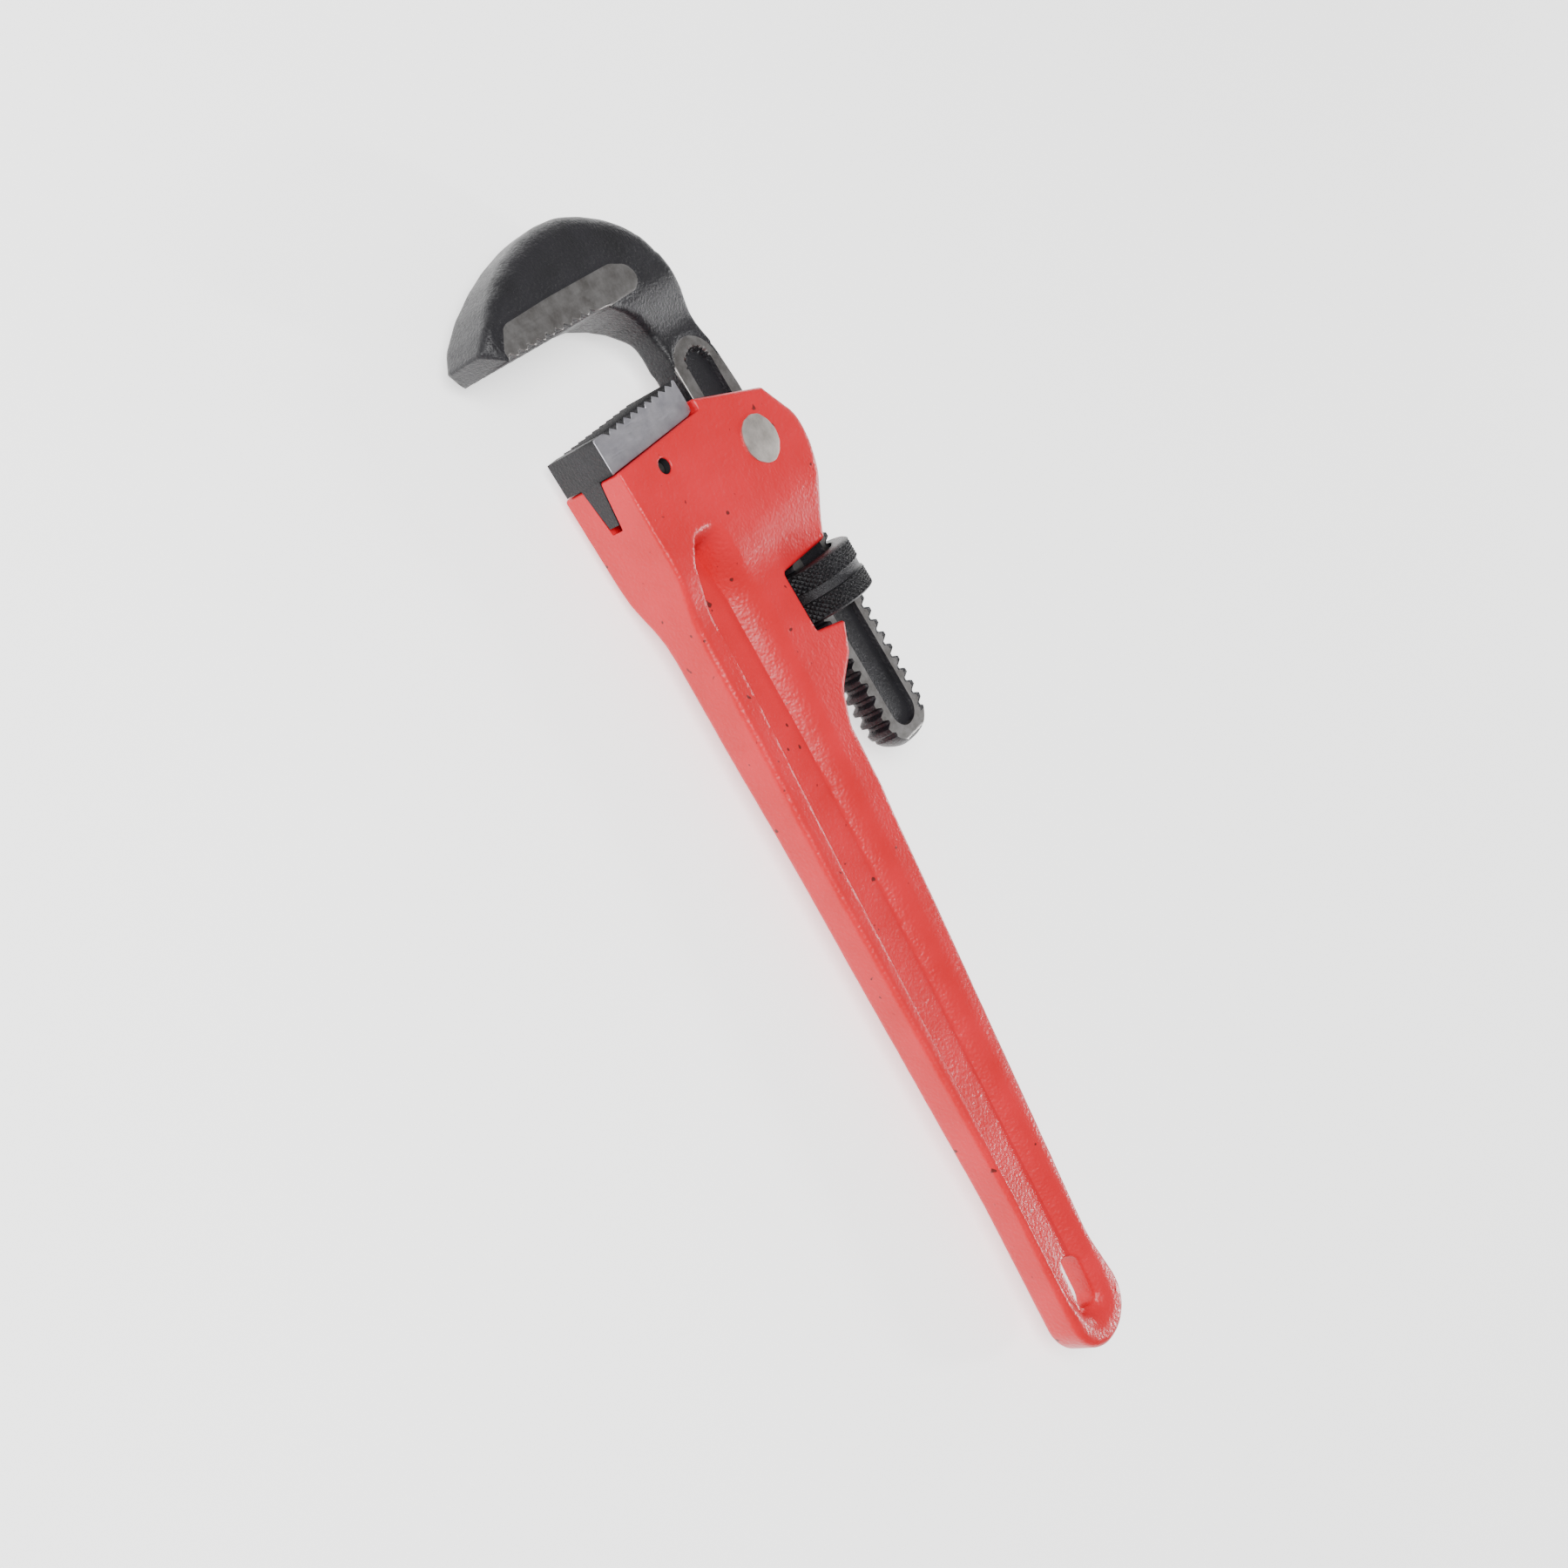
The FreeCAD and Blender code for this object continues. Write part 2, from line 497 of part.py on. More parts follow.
def make_coil_spring():
    """The coil spring between the flat spring and the bottom of its pocket."""
    length = ("(Sizes.leaf_back - Sizes.leaf_thickness - Sizes.coil_floor"
              " - 2 * Sizes.coil_gap - 2 * Sizes.coil_wire)")
    helix = doc.addObject("Part::Helix", "coil_path")
    bind(helix, Pitch=length + " / Sizes.coil_turns", Height=length, Radius="Sizes.coil_radius")
    wire = doc.addObject("Part::Circle", "coil_section")
    wire.Placement.Rotation = Rotation(Vector(1, 0, 0), 90)
    bind(wire, Radius="Sizes.coil_wire")
    wire.setExpression(".Placement.Base.x", "Sizes.coil_radius")
    coil = doc.addObject("Part::Sweep", "coil")
    coil.Sections = [wire]
    coil.Spine = (helix, [])
    coil.Solid = True
    coil.Frenet = True
    return finish(coil, "coil_spring", Rotation(Vector(1, 0, 0), -90), x="Sizes.coil_x",
                  y="Sizes.coil_floor + Sizes.coil_gap + Sizes.coil_wire")


def check_and_export(pieces):
    """Recompute, refuse anything that failed, and write each sub-part to its STEP file."""
    doc.recompute()
    for item in doc.Objects:
        if {"Invalid", "Error"} & set(item.State):
            raise RuntimeError("%s failed: %s" % (item.Name, item.State))
    os.makedirs("parts", exist_ok=True)
    for item in pieces:
        shape = item.Shape
        if shape.isNull() or not shape.isValid() or not shape.Solids:
            raise RuntimeError("%s has no valid solid" % item.Label)
        print("%-16s %8.2f cm3  %d solid(s)" % (item.Label, shape.Volume / 1000, len(shape.Solids)))
        shape.exportStep(os.path.join("parts", item.Label + ".step"))


fill_sheet()
check_and_export([
    make_handle(), make_heel_jaw(), make_pin(), make_hook_jaw(), make_nut(), make_flat_spring(),
    make_rivet(), make_coil_spring(),
])
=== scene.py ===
"""Straight pipe wrench: the looks of the casting, the two jaws, the adjusting nut and the springs.

Shapes are worked out in millimetres: X along the hook jaw's shank from the heel jaw's teeth,
Y across it towards the wrench's back, Z from the middle plane between the two flat sides.
"""

import math

import bpy
import numpy as np
from mathutils import Matrix, Vector
from mathutils.geometry import delaunay_2d_cdt


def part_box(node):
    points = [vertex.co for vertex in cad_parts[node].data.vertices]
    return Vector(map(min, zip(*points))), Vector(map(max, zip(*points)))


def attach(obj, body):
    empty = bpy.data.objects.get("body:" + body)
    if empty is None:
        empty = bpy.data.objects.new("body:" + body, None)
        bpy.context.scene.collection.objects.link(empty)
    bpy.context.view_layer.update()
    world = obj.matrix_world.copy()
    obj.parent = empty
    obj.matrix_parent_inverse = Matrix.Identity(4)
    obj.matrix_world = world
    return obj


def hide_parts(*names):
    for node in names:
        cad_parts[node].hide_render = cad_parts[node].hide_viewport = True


bl_info = {
    "name": "Pipe wrench",
    "version": (1, 0, 0),
    "blender": (4, 5, 0),
    "location": "View3D > Sidebar > Wrench",
    "description": "Builds the visible pieces of a straight pipe wrench round its packed solids",
    "category": "Object",
}

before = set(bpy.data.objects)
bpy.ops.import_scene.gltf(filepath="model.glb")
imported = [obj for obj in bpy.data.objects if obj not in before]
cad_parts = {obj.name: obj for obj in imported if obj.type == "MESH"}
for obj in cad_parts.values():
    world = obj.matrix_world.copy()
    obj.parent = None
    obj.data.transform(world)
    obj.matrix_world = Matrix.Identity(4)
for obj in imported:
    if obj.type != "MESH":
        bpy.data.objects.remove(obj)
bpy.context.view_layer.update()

# The heel jaw's pin fixes where the working millimetres lie in the row's frame. Its hole in the
# casting is drawn a little wider than the pin, so that its dark mouth, painted shade, shows.
PIN = (20.7, -54.9)
HOLE = 3.0
PIN_LOW, PIN_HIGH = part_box("heel_jaw_pin")
ORIGIN = np.array((PIN_LOW + PIN_HIGH) / 2) * 1000 - np.array((PIN[0], PIN[1], 0.0))

# Half thicknesses: the jaws' heads, the shank, the handle, and the channel for the shank.
JAW_HALF = 13.05
SHANK_HALF = 6.0
HANDLE_HALF = 8.0
CHANNEL_HALF = 6.8

# The channel's walls in front of the shank and behind it.
CHANNEL_FRONT = -21.2
CHANNEL_BACK = 15.8

# Faces that meet at more than this many degrees are shaded with a sharp edge.
SHARP = 38.0

# Corners of the outlines: X, Y, rounding of the corner, rounding of the edge beside it.
CASTING = (
    (13.6, -77.0, 1.5, 1.0), (80.0, -78.2, 300, 3.0), (180.0, -84.2, 300, 2.8), (322.0, -91.4, 200, 2.8),
    (397.0, -99.5, 17.0, 3.2), (397.0, -61.5, 17.0, 3.2), (360.0, -64.0, 60.0, 3.0),
    (165.0, -33.2, 60.0, 2.8), (141.0, -31.6, 12.0, 2.8), (129.0, -25.8, 8.0, 2.6),
    (119.5, -12.4, 5.0, 2.4), (108.2, -6.3, 1.2, 1.4), (104.4, -23.2, 1.5, 1.2),
    (79.0, -23.2, 1.5, 1.2), (79.0, 7.5, 2.5, 2.4),
    (57.5, 19.8, 60.0, 4.5), (43.0, 25.0, 30.0, 4.5), (32.0, 25.0, 16.0, 4.5), (17.3, 13.6, 1.6, 2.4),
    (6.6, -24.3, 0.8, 1.6), (11.3, -24.3, 0.8, 0.5),
)

# The long recess: the line where it begins and the edge of its flat floor.
RIM = (
    (46.0, -47.5, 6), (60.0, -43.0, 12), (80.0, -37.5, 14), (137.0, -42.6, 80), (215.0, -49.8, 300),
    (366.0, -67.4, 60), (390.0, -71.0, 9), (390.0, -89.5, 8), (371.0, -94.6, 12), (320.0, -88.9, 100),
    (102.0, -70.0, 100), (56.0, -68.4, 10), (45.6, -60.0, 6),
)
FLOOR = (
    (52.5, -53.0, 3), (74.0, -50.6, 20), (137.0, -54.0, 80), (215.0, -61.3, 300), (358.0, -74.8, 60),
    (382.0, -77.5, 5), (382.0, -86.6, 4), (366.0, -88.0, 6), (320.0, -84.6, 80), (102.0, -67.0, 60),
    (62.0, -65.8, 4), (52.5, -60.8, 3),
)
HOOK_OUTER = (
    (-43.0, -100.2, 1.2, 2.4), (-50.4, -93.0, 30, 3.6), (-57.6, -84.0, 40, 4.5), (-63.5, -74.0, 40, 6.0),
    (-68.2, -63.0, 40, 7.0), (-71.8, -50.0, 40, 7.5), (-73.2, -39.0, 40, 7.5), (-72.5, -27.3, 30, 7.5),
    (-69.6, -18.5, 30, 7.5), (-65.0, -9.0, 30, 7.5), (-58.6, -0.8, 30, 7.5), (-50.0, 5.2, 30, 7.0),
    (-40.0, 8.4, 40, 6.0), (-28.0, 9.6, 40, 4.0), (-15.0, 10.5, 40, 2.6), (-2.0, 12.8, 30, 1.2),
    (12.0, 13.5, 20, 0.5), (49.0, 13.5, 0, 0.4),
)
HOOK_INNER = (
    (49.0, -13.5, 0, 0.4), (6.0, -13.5, 20, 0.5), (-6.0, -13.7, 12, 1.2), (-14.0, -14.3, 12, 2.5),
    (-20.5, -15.6, 10, 3.0), (-27.6, -21.0, 10, 3.0), (-32.0, -26.6, 12, 2.4), (-36.4, -35.0, 5, 0.8),
)
# Rows of teeth: first tip, last tip, count; and the share of a pitch from a tip to its root.
HOOK_TEETH = ((-37.0, -41.0), (-37.4, -91.6), 10)
HEEL_TEETH = ((-2.7, -26.6), (-0.6, -71.6), 10)
TOOTH_STEEP = 0.34
GROUND_STRIP = (
    (-36.0, -41.5, 0.3), (-36.0, -91.2, 0.3), (-41.0, -91.4, 2.5), (-48.6, -85.5, 5.0), (-49.4, -60.0, 60),
    (-49.2, -24.0, 8.0), (-46.0, -15.5, 6.0), (-40.5, -13.0, 5.0), (-36.6, -17.5, 6.0), (-36.2, -33.0, 2.0),
)

# The knuckle of ground steel round the upper end of the pocket in the shank's sides.
KNUCKLE_X = -0.6
KNUCKLE_Y = -1.6
KNUCKLE_RADIUS = 12.6

# The pocket: where it begins and ends along the shank, half its width, its depth, its wall's run.
POCKET_TOP = -8.5
POCKET_END = 158.0
POCKET_HALF = 7.4
POCKET_DEPTH = 2.1
POCKET_WALL = 0.8

# The threaded part of the shank: where it begins, where its end starts to round off, and the
# step between the rings that it is drawn with.
SHANK_START = 49.0
SHANK_ROUND = 150.0
SHANK_STEP = 0.28

# Right-hand screw thread: lead, where its crest crosses the shank's back edge, radius at the root,
# height above it, half the width of a crest with its flanks, width of a flank, radius at the crest.
LEAD = 5.64
CREST = 50.41
THREAD_ROOT = 12.2
THREAD_HEIGHT = 2.8
THREAD_REACH = 2.15
THREAD_FLANK = 1.3
CREST_RADIUS = 15.0

# The adjusting nut: radius, where it starts along the shank, the play in its thread, its knurl.
NUT_RADIUS = 19.55
NUT_START = 82.2
NUT_PLAY = 0.35
KNURL_COUNT = 46

# The ground pads on the housing's sides.
PAD_X = 32.9
PAD_Y = -3.1


def row(points):
    """Working millimetres to metres in the row's frame: shifted to the CAD part's place."""
    return (np.asarray(points, float) + ORIGIN) / 1000


# ---------------------------------------------------------------- lines in the plane of the sides

def rounded(corners, step):
    """A closed line through corners, each rounded by an arc, as even points a step apart.

    An arc of radius r starts r * tan(turn / 2) before its corner, or at most 0.48 of the shorter
    run beside it. The last number of each corner, the edge rounding, is carried along the line.
    """
    corners = [tuple(c) + ((c[2],) if len(c) == 3 else ()) for c in corners]
    places = np.array([c[:2] for c in corners], float)
    before = np.roll(places, 1, axis=0) - places
    after = np.roll(places, -1, axis=0) - places
    runs = np.minimum(np.linalg.norm(before, axis=1), np.linalg.norm(after, axis=1))
    line = []
    for place, b, a, run, corner in zip(places, before, after, runs, corners):
        b, a = b / np.linalg.norm(b), a / np.linalg.norm(a)
        turn = math.pi - math.acos(max(-1.0, min(1.0, float(b @ a))))
        back = min(corner[2] * math.tan(turn / 2), 0.48 * run)
        if back < 0.02:
            line.append(np.array([[*place, corner[3]]]))
            continue
        radius = back / math.tan(turn / 2)
        centre = place + (b + a) / np.linalg.norm(b + a) * math.hypot(radius, back)
        start, end = place + b * back - centre, place + a * back - centre
        count = max(5, int(radius * turn / step) + 1)
        share = np.linspace(0, 1, count)[:, None]
        arc = (start * np.sin((1 - share) * turn) / math.sin(turn)
               + end * np.sin(share * turn) / math.sin(turn))
        line.append(np.column_stack([centre + arc, np.full(count, corner[3])]))
    return filled(np.vstack(line), step)


def filled(line, step):
    """Points added on the straight runs of a closed line, so that none is longer than a step."""
    parts = []
    for a, b in zip(line, np.roll(line, -1, axis=0)):
        count = max(1, math.ceil(math.dist(a[:2], b[:2]) / step))
        parts.append(a + (b - a) * np.linspace(0, 1, count, endpoint=False)[:, None])
    return np.vstack(parts)


def notches(start, end, count, depth, side):
    """The zigzag of ratchet teeth from start to end, each root TOOTH_STEEP of a pitch past its tip."""
    start, end = np.array(start, float), np.array(end, float)
    along = (end - start) / count
    inward = np.array([-along[1], along[0]]) / np.linalg.norm(along) * depth * side
    number = np.arange(count)[:, None]
    tips, roots = start + along * number, start + along * (number + TOOTH_STEEP) + inward
    line = np.stack([tips, roots], axis=1).reshape(-1, 2)
    return np.vstack([line, end[None, :]])


def nearest(points, lines):
    """Distance from each point to the nearest segment of closed lines, and that segment's rounding."""
    start = np.vstack(lines)
    run = np.vstack([np.roll(line, -1, axis=0) - line for line in lines])
    length = np.maximum((run[:, :2] ** 2).sum(1), 1e-12)
    distance, rounding = [], []
    for part in np.array_split(points, max(1, len(points) // 1500)):
        gap = part[:, None, :2] - start[None, :, :2]
        share = np.clip((gap * run[None, :, :2]).sum(2) / length, 0, 1)
        away = ((gap - share[:, :, None] * run[None, :, :2]) ** 2).sum(2)
        index = away.argmin(1)
        pick = np.arange(len(part))
        distance.append(np.sqrt(away[pick, index]))
        rounding.append(start[index, 2] + share[pick, index] * run[index, 2])
    return np.concatenate(distance), np.concatenate(rounding)


def inside(points, line):
    """Whether each point lies within a closed line: an odd count of crossings to its right."""
    start, end = line[:, :2], np.roll(line, -1, axis=0)[:, :2]
    rise = np.where(end[:, 1] == start[:, 1], 1e-12, end[:, 1] - start[:, 1])
    found = []
    for part in np.array_split(points, max(1, len(points) // 3000)):
        y = part[:, None, 1]
        straddles = (start[None, :, 1] > y) != (end[None, :, 1] > y)
        crossing = start[None, :, 0] + (y - start[None, :, 1]) / rise * (end[:, 0] - start[:, 0])
        found.append(((straddles & (crossing > part[:, None, 0])).sum(1) % 2) == 1)
    return np.concatenate(found)


def smooth(x):
    """A soft step from 0 to 1: 3x^2 - 2x^3 between 0 and 1."""
    x = np.clip(x, 0, 1)
    return x * x * (3 - 2 * x)


def lumps(x, y, size, seed=0.0):
    """A gentle uneven surface from -1 to 1: the mean of six plane waves near the given wavelength."""
    angle = np.arange(6) * 1.13 + seed
    pace = 2 * math.pi / size * (0.7 + 0.13 * np.arange(6))
    along, across = np.cos(angle) * pace, np.sin(angle) * pace
    wave = np.sin(np.multiply.outer(x, along) + np.multiply.outer(y, across) + angle * 7)
    return wave.mean(axis=-1)


# ---------------------------------------------------------------- meshes

def mesh_object(name, points, faces, smooth_angle=SHARP, kinds=None):
    """A mesh in the row's frame from points in working millimetres; sharp past an angle.

    Points that coincide, as at a pole, become one, and triangles that lose a corner by it go.
    """
    _, first, same = np.unique(np.round(points, 4), axis=0, return_index=True, return_inverse=True)
    points, faces = row(points[first]), same.ravel()[faces]
    keep = (faces != np.roll(faces, 1, axis=1)).all(axis=1)
    faces, kinds = faces[keep], None if kinds is None else kinds[keep]
    mesh = bpy.data.meshes.new(name)
    mesh.vertices.add(len(points))
    mesh.vertices.foreach_set("co", points.astype(np.float32).ravel())
    mesh.loops.add(faces.size)
    mesh.loops.foreach_set("vertex_index", faces.astype(np.int32).ravel())
    mesh.polygons.add(len(faces))
    mesh.polygons.foreach_set("loop_start", (np.arange(len(faces)) * faces.shape[1]).astype(np.int32))
    if kinds is not None:
        mesh.polygons.foreach_set("material_index", kinds.astype(np.int32))
    mesh.update(calc_edges=True)
    mesh.validate()
    mesh.shade_smooth()
    mesh.set_sharp_from_angle(angle=math.radians(smooth_angle))
    item = bpy.data.objects.new(name, mesh)
    bpy.context.scene.collection.objects.link(item)
    return item


def plate(name, loops, height, spacing, crisp=(), kind=None):
    """A solid symmetric about the middle plane, bounded by an outline and its holes.

    The plan is filled with triangles on points of a hexagonal grid and on rows that follow the
    edge; each point is lifted to z = h(x, y) - r + sqrt(r^2 - (r - d)^2), with d its distance to
    the nearest edge and r that edge's rounding, which is a ball rolled round the edge. Crisp lines
    are kept as rows of points, and kind says which finish each triangle of the two faces takes.
    """
    outline = np.vstack(loops)
    low, high = outline[:, :2].min(0), outline[:, :2].max(0)
    # Rows of a hexagonal grid lie this share of its spacing apart.
    hexagonal = 0.866
    rows = np.arange(low[1], high[1], spacing * hexagonal)
    across = np.arange(low[0], high[0], spacing)
    x, y = np.meshgrid(across, rows)
    x = x + np.where(np.arange(len(rows)) % 2, spacing / 2, 0.0)[:, None]
    grid = np.column_stack([x.ravel(), y.ravel()])
    distance, rounding = nearest(grid, loops)
    grid = grid[distance > rounding + 0.35 * spacing]
    bands = [grid]
    for loop in loops:
        run = np.roll(loop, -1, axis=0)[:, :2] - np.roll(loop, 1, axis=0)[:, :2]
        length = np.maximum(np.linalg.norm(run, axis=1), 1e-9)[:, None]
        normal = np.column_stack([-run[:, 1], run[:, 0]]) / length
        for angle in np.radians((14, 28, 42, 56, 72, 90)):
            inset = loop[:, 2] * (1 - math.cos(angle))
            for sign in (1, -1):
                band = loop[:, :2] + sign * normal * inset[:, None]
                reach, _ = nearest(band, loops)
                bands.append(band[(reach > 0.97 * inset) & (inset > 0.02)])
    free = np.vstack(bands)
    crisp = [np.asarray(line, float) for line in crisp]
    if crisp:
        near, _ = nearest(free, crisp)
        free = free[near > 0.3 * spacing]
    keep = inside(free, loops[0])
    for hole in loops[1:]:
        keep &= ~inside(free, hole)
    free = free[keep]
    lines = [line[:, :2] for line in loops] + [line[:, :2] for line in crisp]
    places = np.vstack(lines + [free])
    edges, first = [], 0
    for line in lines:
        number = np.arange(len(line))
        edges += list(zip((first + number).tolist(), (first + np.roll(number, -1)).tolist()))
        first += len(line)
    found = delaunay_2d_cdt([Vector(p) for p in places.tolist()], edges, [], 0, 1e-4)
    plan = np.array([tuple(v) for v in found[0]])
    triangles = np.array(found[2])
    middle = plan[triangles].mean(1)
    keep = inside(middle, loops[0])
    for hole in loops[1:]:
        keep &= ~inside(middle, hole)
    a, b, c = (plan[triangles[:, k]] for k in range(3))
    area = (b[:, 0] - a[:, 0]) * (c[:, 1] - a[:, 1]) - (b[:, 1] - a[:, 1]) * (c[:, 0] - a[:, 0])
    triangles[area < 0] = triangles[area < 0][:, ::-1]
    keep &= np.abs(area) > 1e-7
    triangles, middle = triangles[keep], middle[keep]
    used, triangles = np.unique(triangles, return_inverse=True)
    plan, triangles = plan[used], triangles.reshape(-1, 3)
    distance, rounding = nearest(plan, loops)
    distance[distance < 2e-3] = 0.0
    reach = np.minimum(distance, rounding)
    ball = np.sqrt(np.maximum(rounding ** 2 - (rounding - reach) ** 2, 0))
    z = height(plan[:, 0], plan[:, 1]) - rounding + ball
    count = len(plan)
    points = [np.column_stack([plan, z]), np.column_stack([plan, -z]), np.column_stack([plan, z * 0.0])]
    # Boundary edges occur in one triangle only; along them walls go down to the middle plane and on.
    sides = np.vstack([triangles[:, [0, 1]], triangles[:, [1, 2]], triangles[:, [2, 0]]])
    code = np.sort(sides, axis=1) @ np.array([count, 1])
    _, index, times = np.unique(code, return_index=True, return_counts=True)
    rims = sides[index[times == 1]]
    layers = [rims, rims + 2 * count, rims + count]
    faces = [triangles, triangles[:, ::-1] + count]
    for upper, lower in zip(layers, layers[1:]):
        faces.append(np.column_stack([upper[:, 1], upper[:, 0], lower[:, 0]]))
        faces.append(np.column_stack([upper[:, 1], lower[:, 0], lower[:, 1]]))
    kinds = None
    if kind is not None:
        above = kind(middle)
        kinds = np.concatenate([above, above, np.zeros(sum(len(f) for f in faces[2:]), int)])
    points, faces = np.vstack(points), np.vstack(faces)
    used, faces = np.unique(faces, return_inverse=True)
    return mesh_object(name, points[used], faces.reshape(-1, 3), kinds=kinds)


def tube(points, closed=True):
    """Triangles over a grid of rings, each closed round itself; if closed, the last joins the first."""
    rings, places = points.shape[:2]
    number = np.arange(rings * places).reshape(rings, places)
    ahead = np.roll(number, -1, axis=1)
    if closed:
        below, beside = np.roll(number, -1, axis=0), np.roll(ahead, -1, axis=0)
    else:
        number, ahead, below, beside = number[:-1], ahead[:-1], number[1:], ahead[1:]
    return np.vstack([np.stack([number, ahead, beside], -1).reshape(-1, 3),
                      np.stack([number, beside, below], -1).reshape(-1, 3)])


def prism(name, loop, low, high, axes=(0, 1, 2)):
    """A plain solid, a piece or a cutter: a convex loop moved along its normal, from low to high."""
    loop = np.asarray(loop, float)
    count = len(loop)
    points = np.zeros((2 * count, 3))
    points[:count, axes[0]], points[count:, axes[0]] = loop[:, 0], loop[:, 0]
    points[:count, axes[1]], points[count:, axes[1]] = loop[:, 1], loop[:, 1]
    points[:count, axes[2]], points[count:, axes[2]] = low, high
    mesh = bpy.data.meshes.new(name)
    ring = list(range(count))
    sides = [(k, (k + 1) % count, (k + 1) % count + count, k + count) for k in ring]
    mesh.from_pydata(row(points).tolist(), [], [ring[::-1], [k + count for k in ring]] + sides)
    if np.linalg.det(np.eye(3)[list(axes)]) < 0:
        mesh.flip_normals()
    item = bpy.data.objects.new(name, mesh)
    bpy.context.scene.collection.objects.link(item)
    return item


def carve(item, cutters):
    """Take cutters away from a piece for good, and remove them."""
    for cutter in cutters:
        change = item.modifiers.new("carve", "BOOLEAN")
        change.operation = "DIFFERENCE"
        change.solver = "MANIFOLD"
        change.object = cutter
    bpy.context.view_layer.update()
    graph = bpy.context.evaluated_depsgraph_get()
    mesh = bpy.data.meshes.new_from_object(item.evaluated_get(graph))
    item.modifiers.clear()
    old, item.data = item.data, mesh
    bpy.data.meshes.remove(old)
    for cutter in cutters:
        bpy.data.objects.remove(cutter)
    mesh.name = item.name
    # The evaluated copy comes with an empty slot, which would stand before the piece's finishes.
    mesh.materials.clear()
    mesh.shade_smooth()
    mesh.set_sharp_from_angle(angle=math.radians(SHARP))
    return item


def ring_of(x, y, radius, count=48, rounding=0.6):
    """A circle as a closed line."""
    turn = np.linspace(0, 2 * math.pi, count, endpoint=False)
    return np.column_stack([x + radius * np.cos(turn), y + radius * np.sin(turn), np.full(count, rounding)])


def box_line(low, high):
    """The four corners of an upright rectangle, counter-clockwise."""
    return [(low[0], low[1]), (high[0], low[1]), (high[0], high[1]), (low[0], high[1])]


def settle(item, body, slot, materials, *nodes):
    """Give a piece its materials and body, and let it stand for CAD nodes. The slot is not used."""
    for material in materials:
        item.data.materials.append(material)
    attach(item, body)
    if nodes:
        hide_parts(*nodes)
    return item


# ---------------------------------------------------------------- the pieces' shapes

def side_height(x):
    """Half thickness of the casting: housing, then a shoulder down to the slimmer handle.

    The table's corners are softened by a running mean 8 mm wide, heaviest in its middle.
    """
    known_x = (-10, 50, 57, 63, 69, 75, 82, 100, 128, 142, 160, 180, 215, 345, 400)
    known_z = (15.4, 15.4, 14.9, 13.4, 11.5, 10.2, 9.8, 9.55, 9.1, 8.6, 8.1, 7.8) + 3 * (HANDLE_HALF,)
    fine = np.linspace(-10, 400, 821)
    table = np.interp(fine, known_x, known_z)
    kernel = np.hanning(17)
    padded = np.pad(table, 8, mode="edge")
    return np.interp(x, fine, np.convolve(padded, kernel / kernel.sum(), mode="valid"))


def casting_height(x, y, depth):
    """The side's height less the long recess.

    With s the share of the way from rim to floor, the recess takes 0.3 s + 0.7 s^2.2 of its depth:
    gentle below the rim, steep beside the flat floor.
    """
    points = np.column_stack([x, y])
    rim, floor = rounded(RIM, 1.5), rounded(FLOOR, 1.5)
    from_rim, _ = nearest(points, [rim])
    from_floor, _ = nearest(points, [floor])
    from_floor = np.where(inside(points, floor), 0.0, from_floor)
    share = np.where(inside(points, rim), from_rim / np.maximum(from_rim + from_floor, 1e-6), 0.0)
    share = 0.3 * share + 0.7 * share ** 2.2
    top = side_height(x)
    sunk = (top - (HANDLE_HALF - depth)) * share
    return top - sunk + 0.09 * lumps(x, y, 16) + 0.05 * lumps(x, y, 6, 2.0)


def make_casting(sizes):
    """The red casting: outline, rounded edges, recess, slot, pin hole and inner channels.

    The second finish goes where paint doesn't reach: in the channels and down the pin hole;
    it is unpainted iron, darkened nearly to black as painted shade in these hollows.
    """
    outline = rounded(CASTING, 1.1)
    capsule = rounded(((361.9, -73.4, 4.9, 1.0), (357.8, -82.6, 4.9, 1.0), (379.0, -85.6, 4.9, 1.0),
                       (383.2, -76.4, 4.9, 1.0)), 0.9)
    pin = ring_of(PIN[0], PIN[1], HOLE, 36, 0.8)
    item = plate("casting", [outline, capsule, pin],
                 lambda x, y: casting_height(x, y, sizes.recess_depth * 1000), 1.25,
                 crisp=[rounded(FLOOR, 1.3)])
    half = CHANNEL_HALF
    cutters = [
        prism("channel", box_line((-20, CHANNEL_FRONT), (80, CHANNEL_BACK)), -half, half),
        prism("fork", box_line((77.5, -16.0), (175, 60)), -half, half),
        prism("tail_slot", [(9.0, -5.75), (32.0, -2.75), (32.0, 2.75), (9.0, 5.75)], -90.0, -33.0, (0, 2, 1)),
        prism("coil_pocket", ring_of(52.0, 0.0, 5.4, 32)[:, :2], -33.0, -20.0, (0, 2, 1)),
        prism("leaf_room", box_line((67.7, -25.0), (72.6, -20.0)), -5.5, 5.5),
    ]
    carve(item, cutters)
    middle = np.empty(3 * len(item.data.polygons))
    item.data.polygons.foreach_get("center", middle)
    middle = middle.reshape(-1, 3) * 1000 - ORIGIN
    handle_start = 170.0
    # Faces in the channels and the pin hole take the second finish: unpainted iron, darkened as painted
    # shade.
    bare = (np.abs(middle[:, 2]) < half + 0.05) & (middle[:, 0] < handle_start)
    bare &= (middle[:, 1] > CHANNEL_FRONT - 0.1) & (middle[:, 1] < CHANNEL_BACK + 0.1)
    bare |= np.hypot(middle[:, 0] - PIN[0], middle[:, 1] - PIN[1]) < HOLE
    item.data.polygons.foreach_set("material_index", bare.astype(np.int32))
    return item


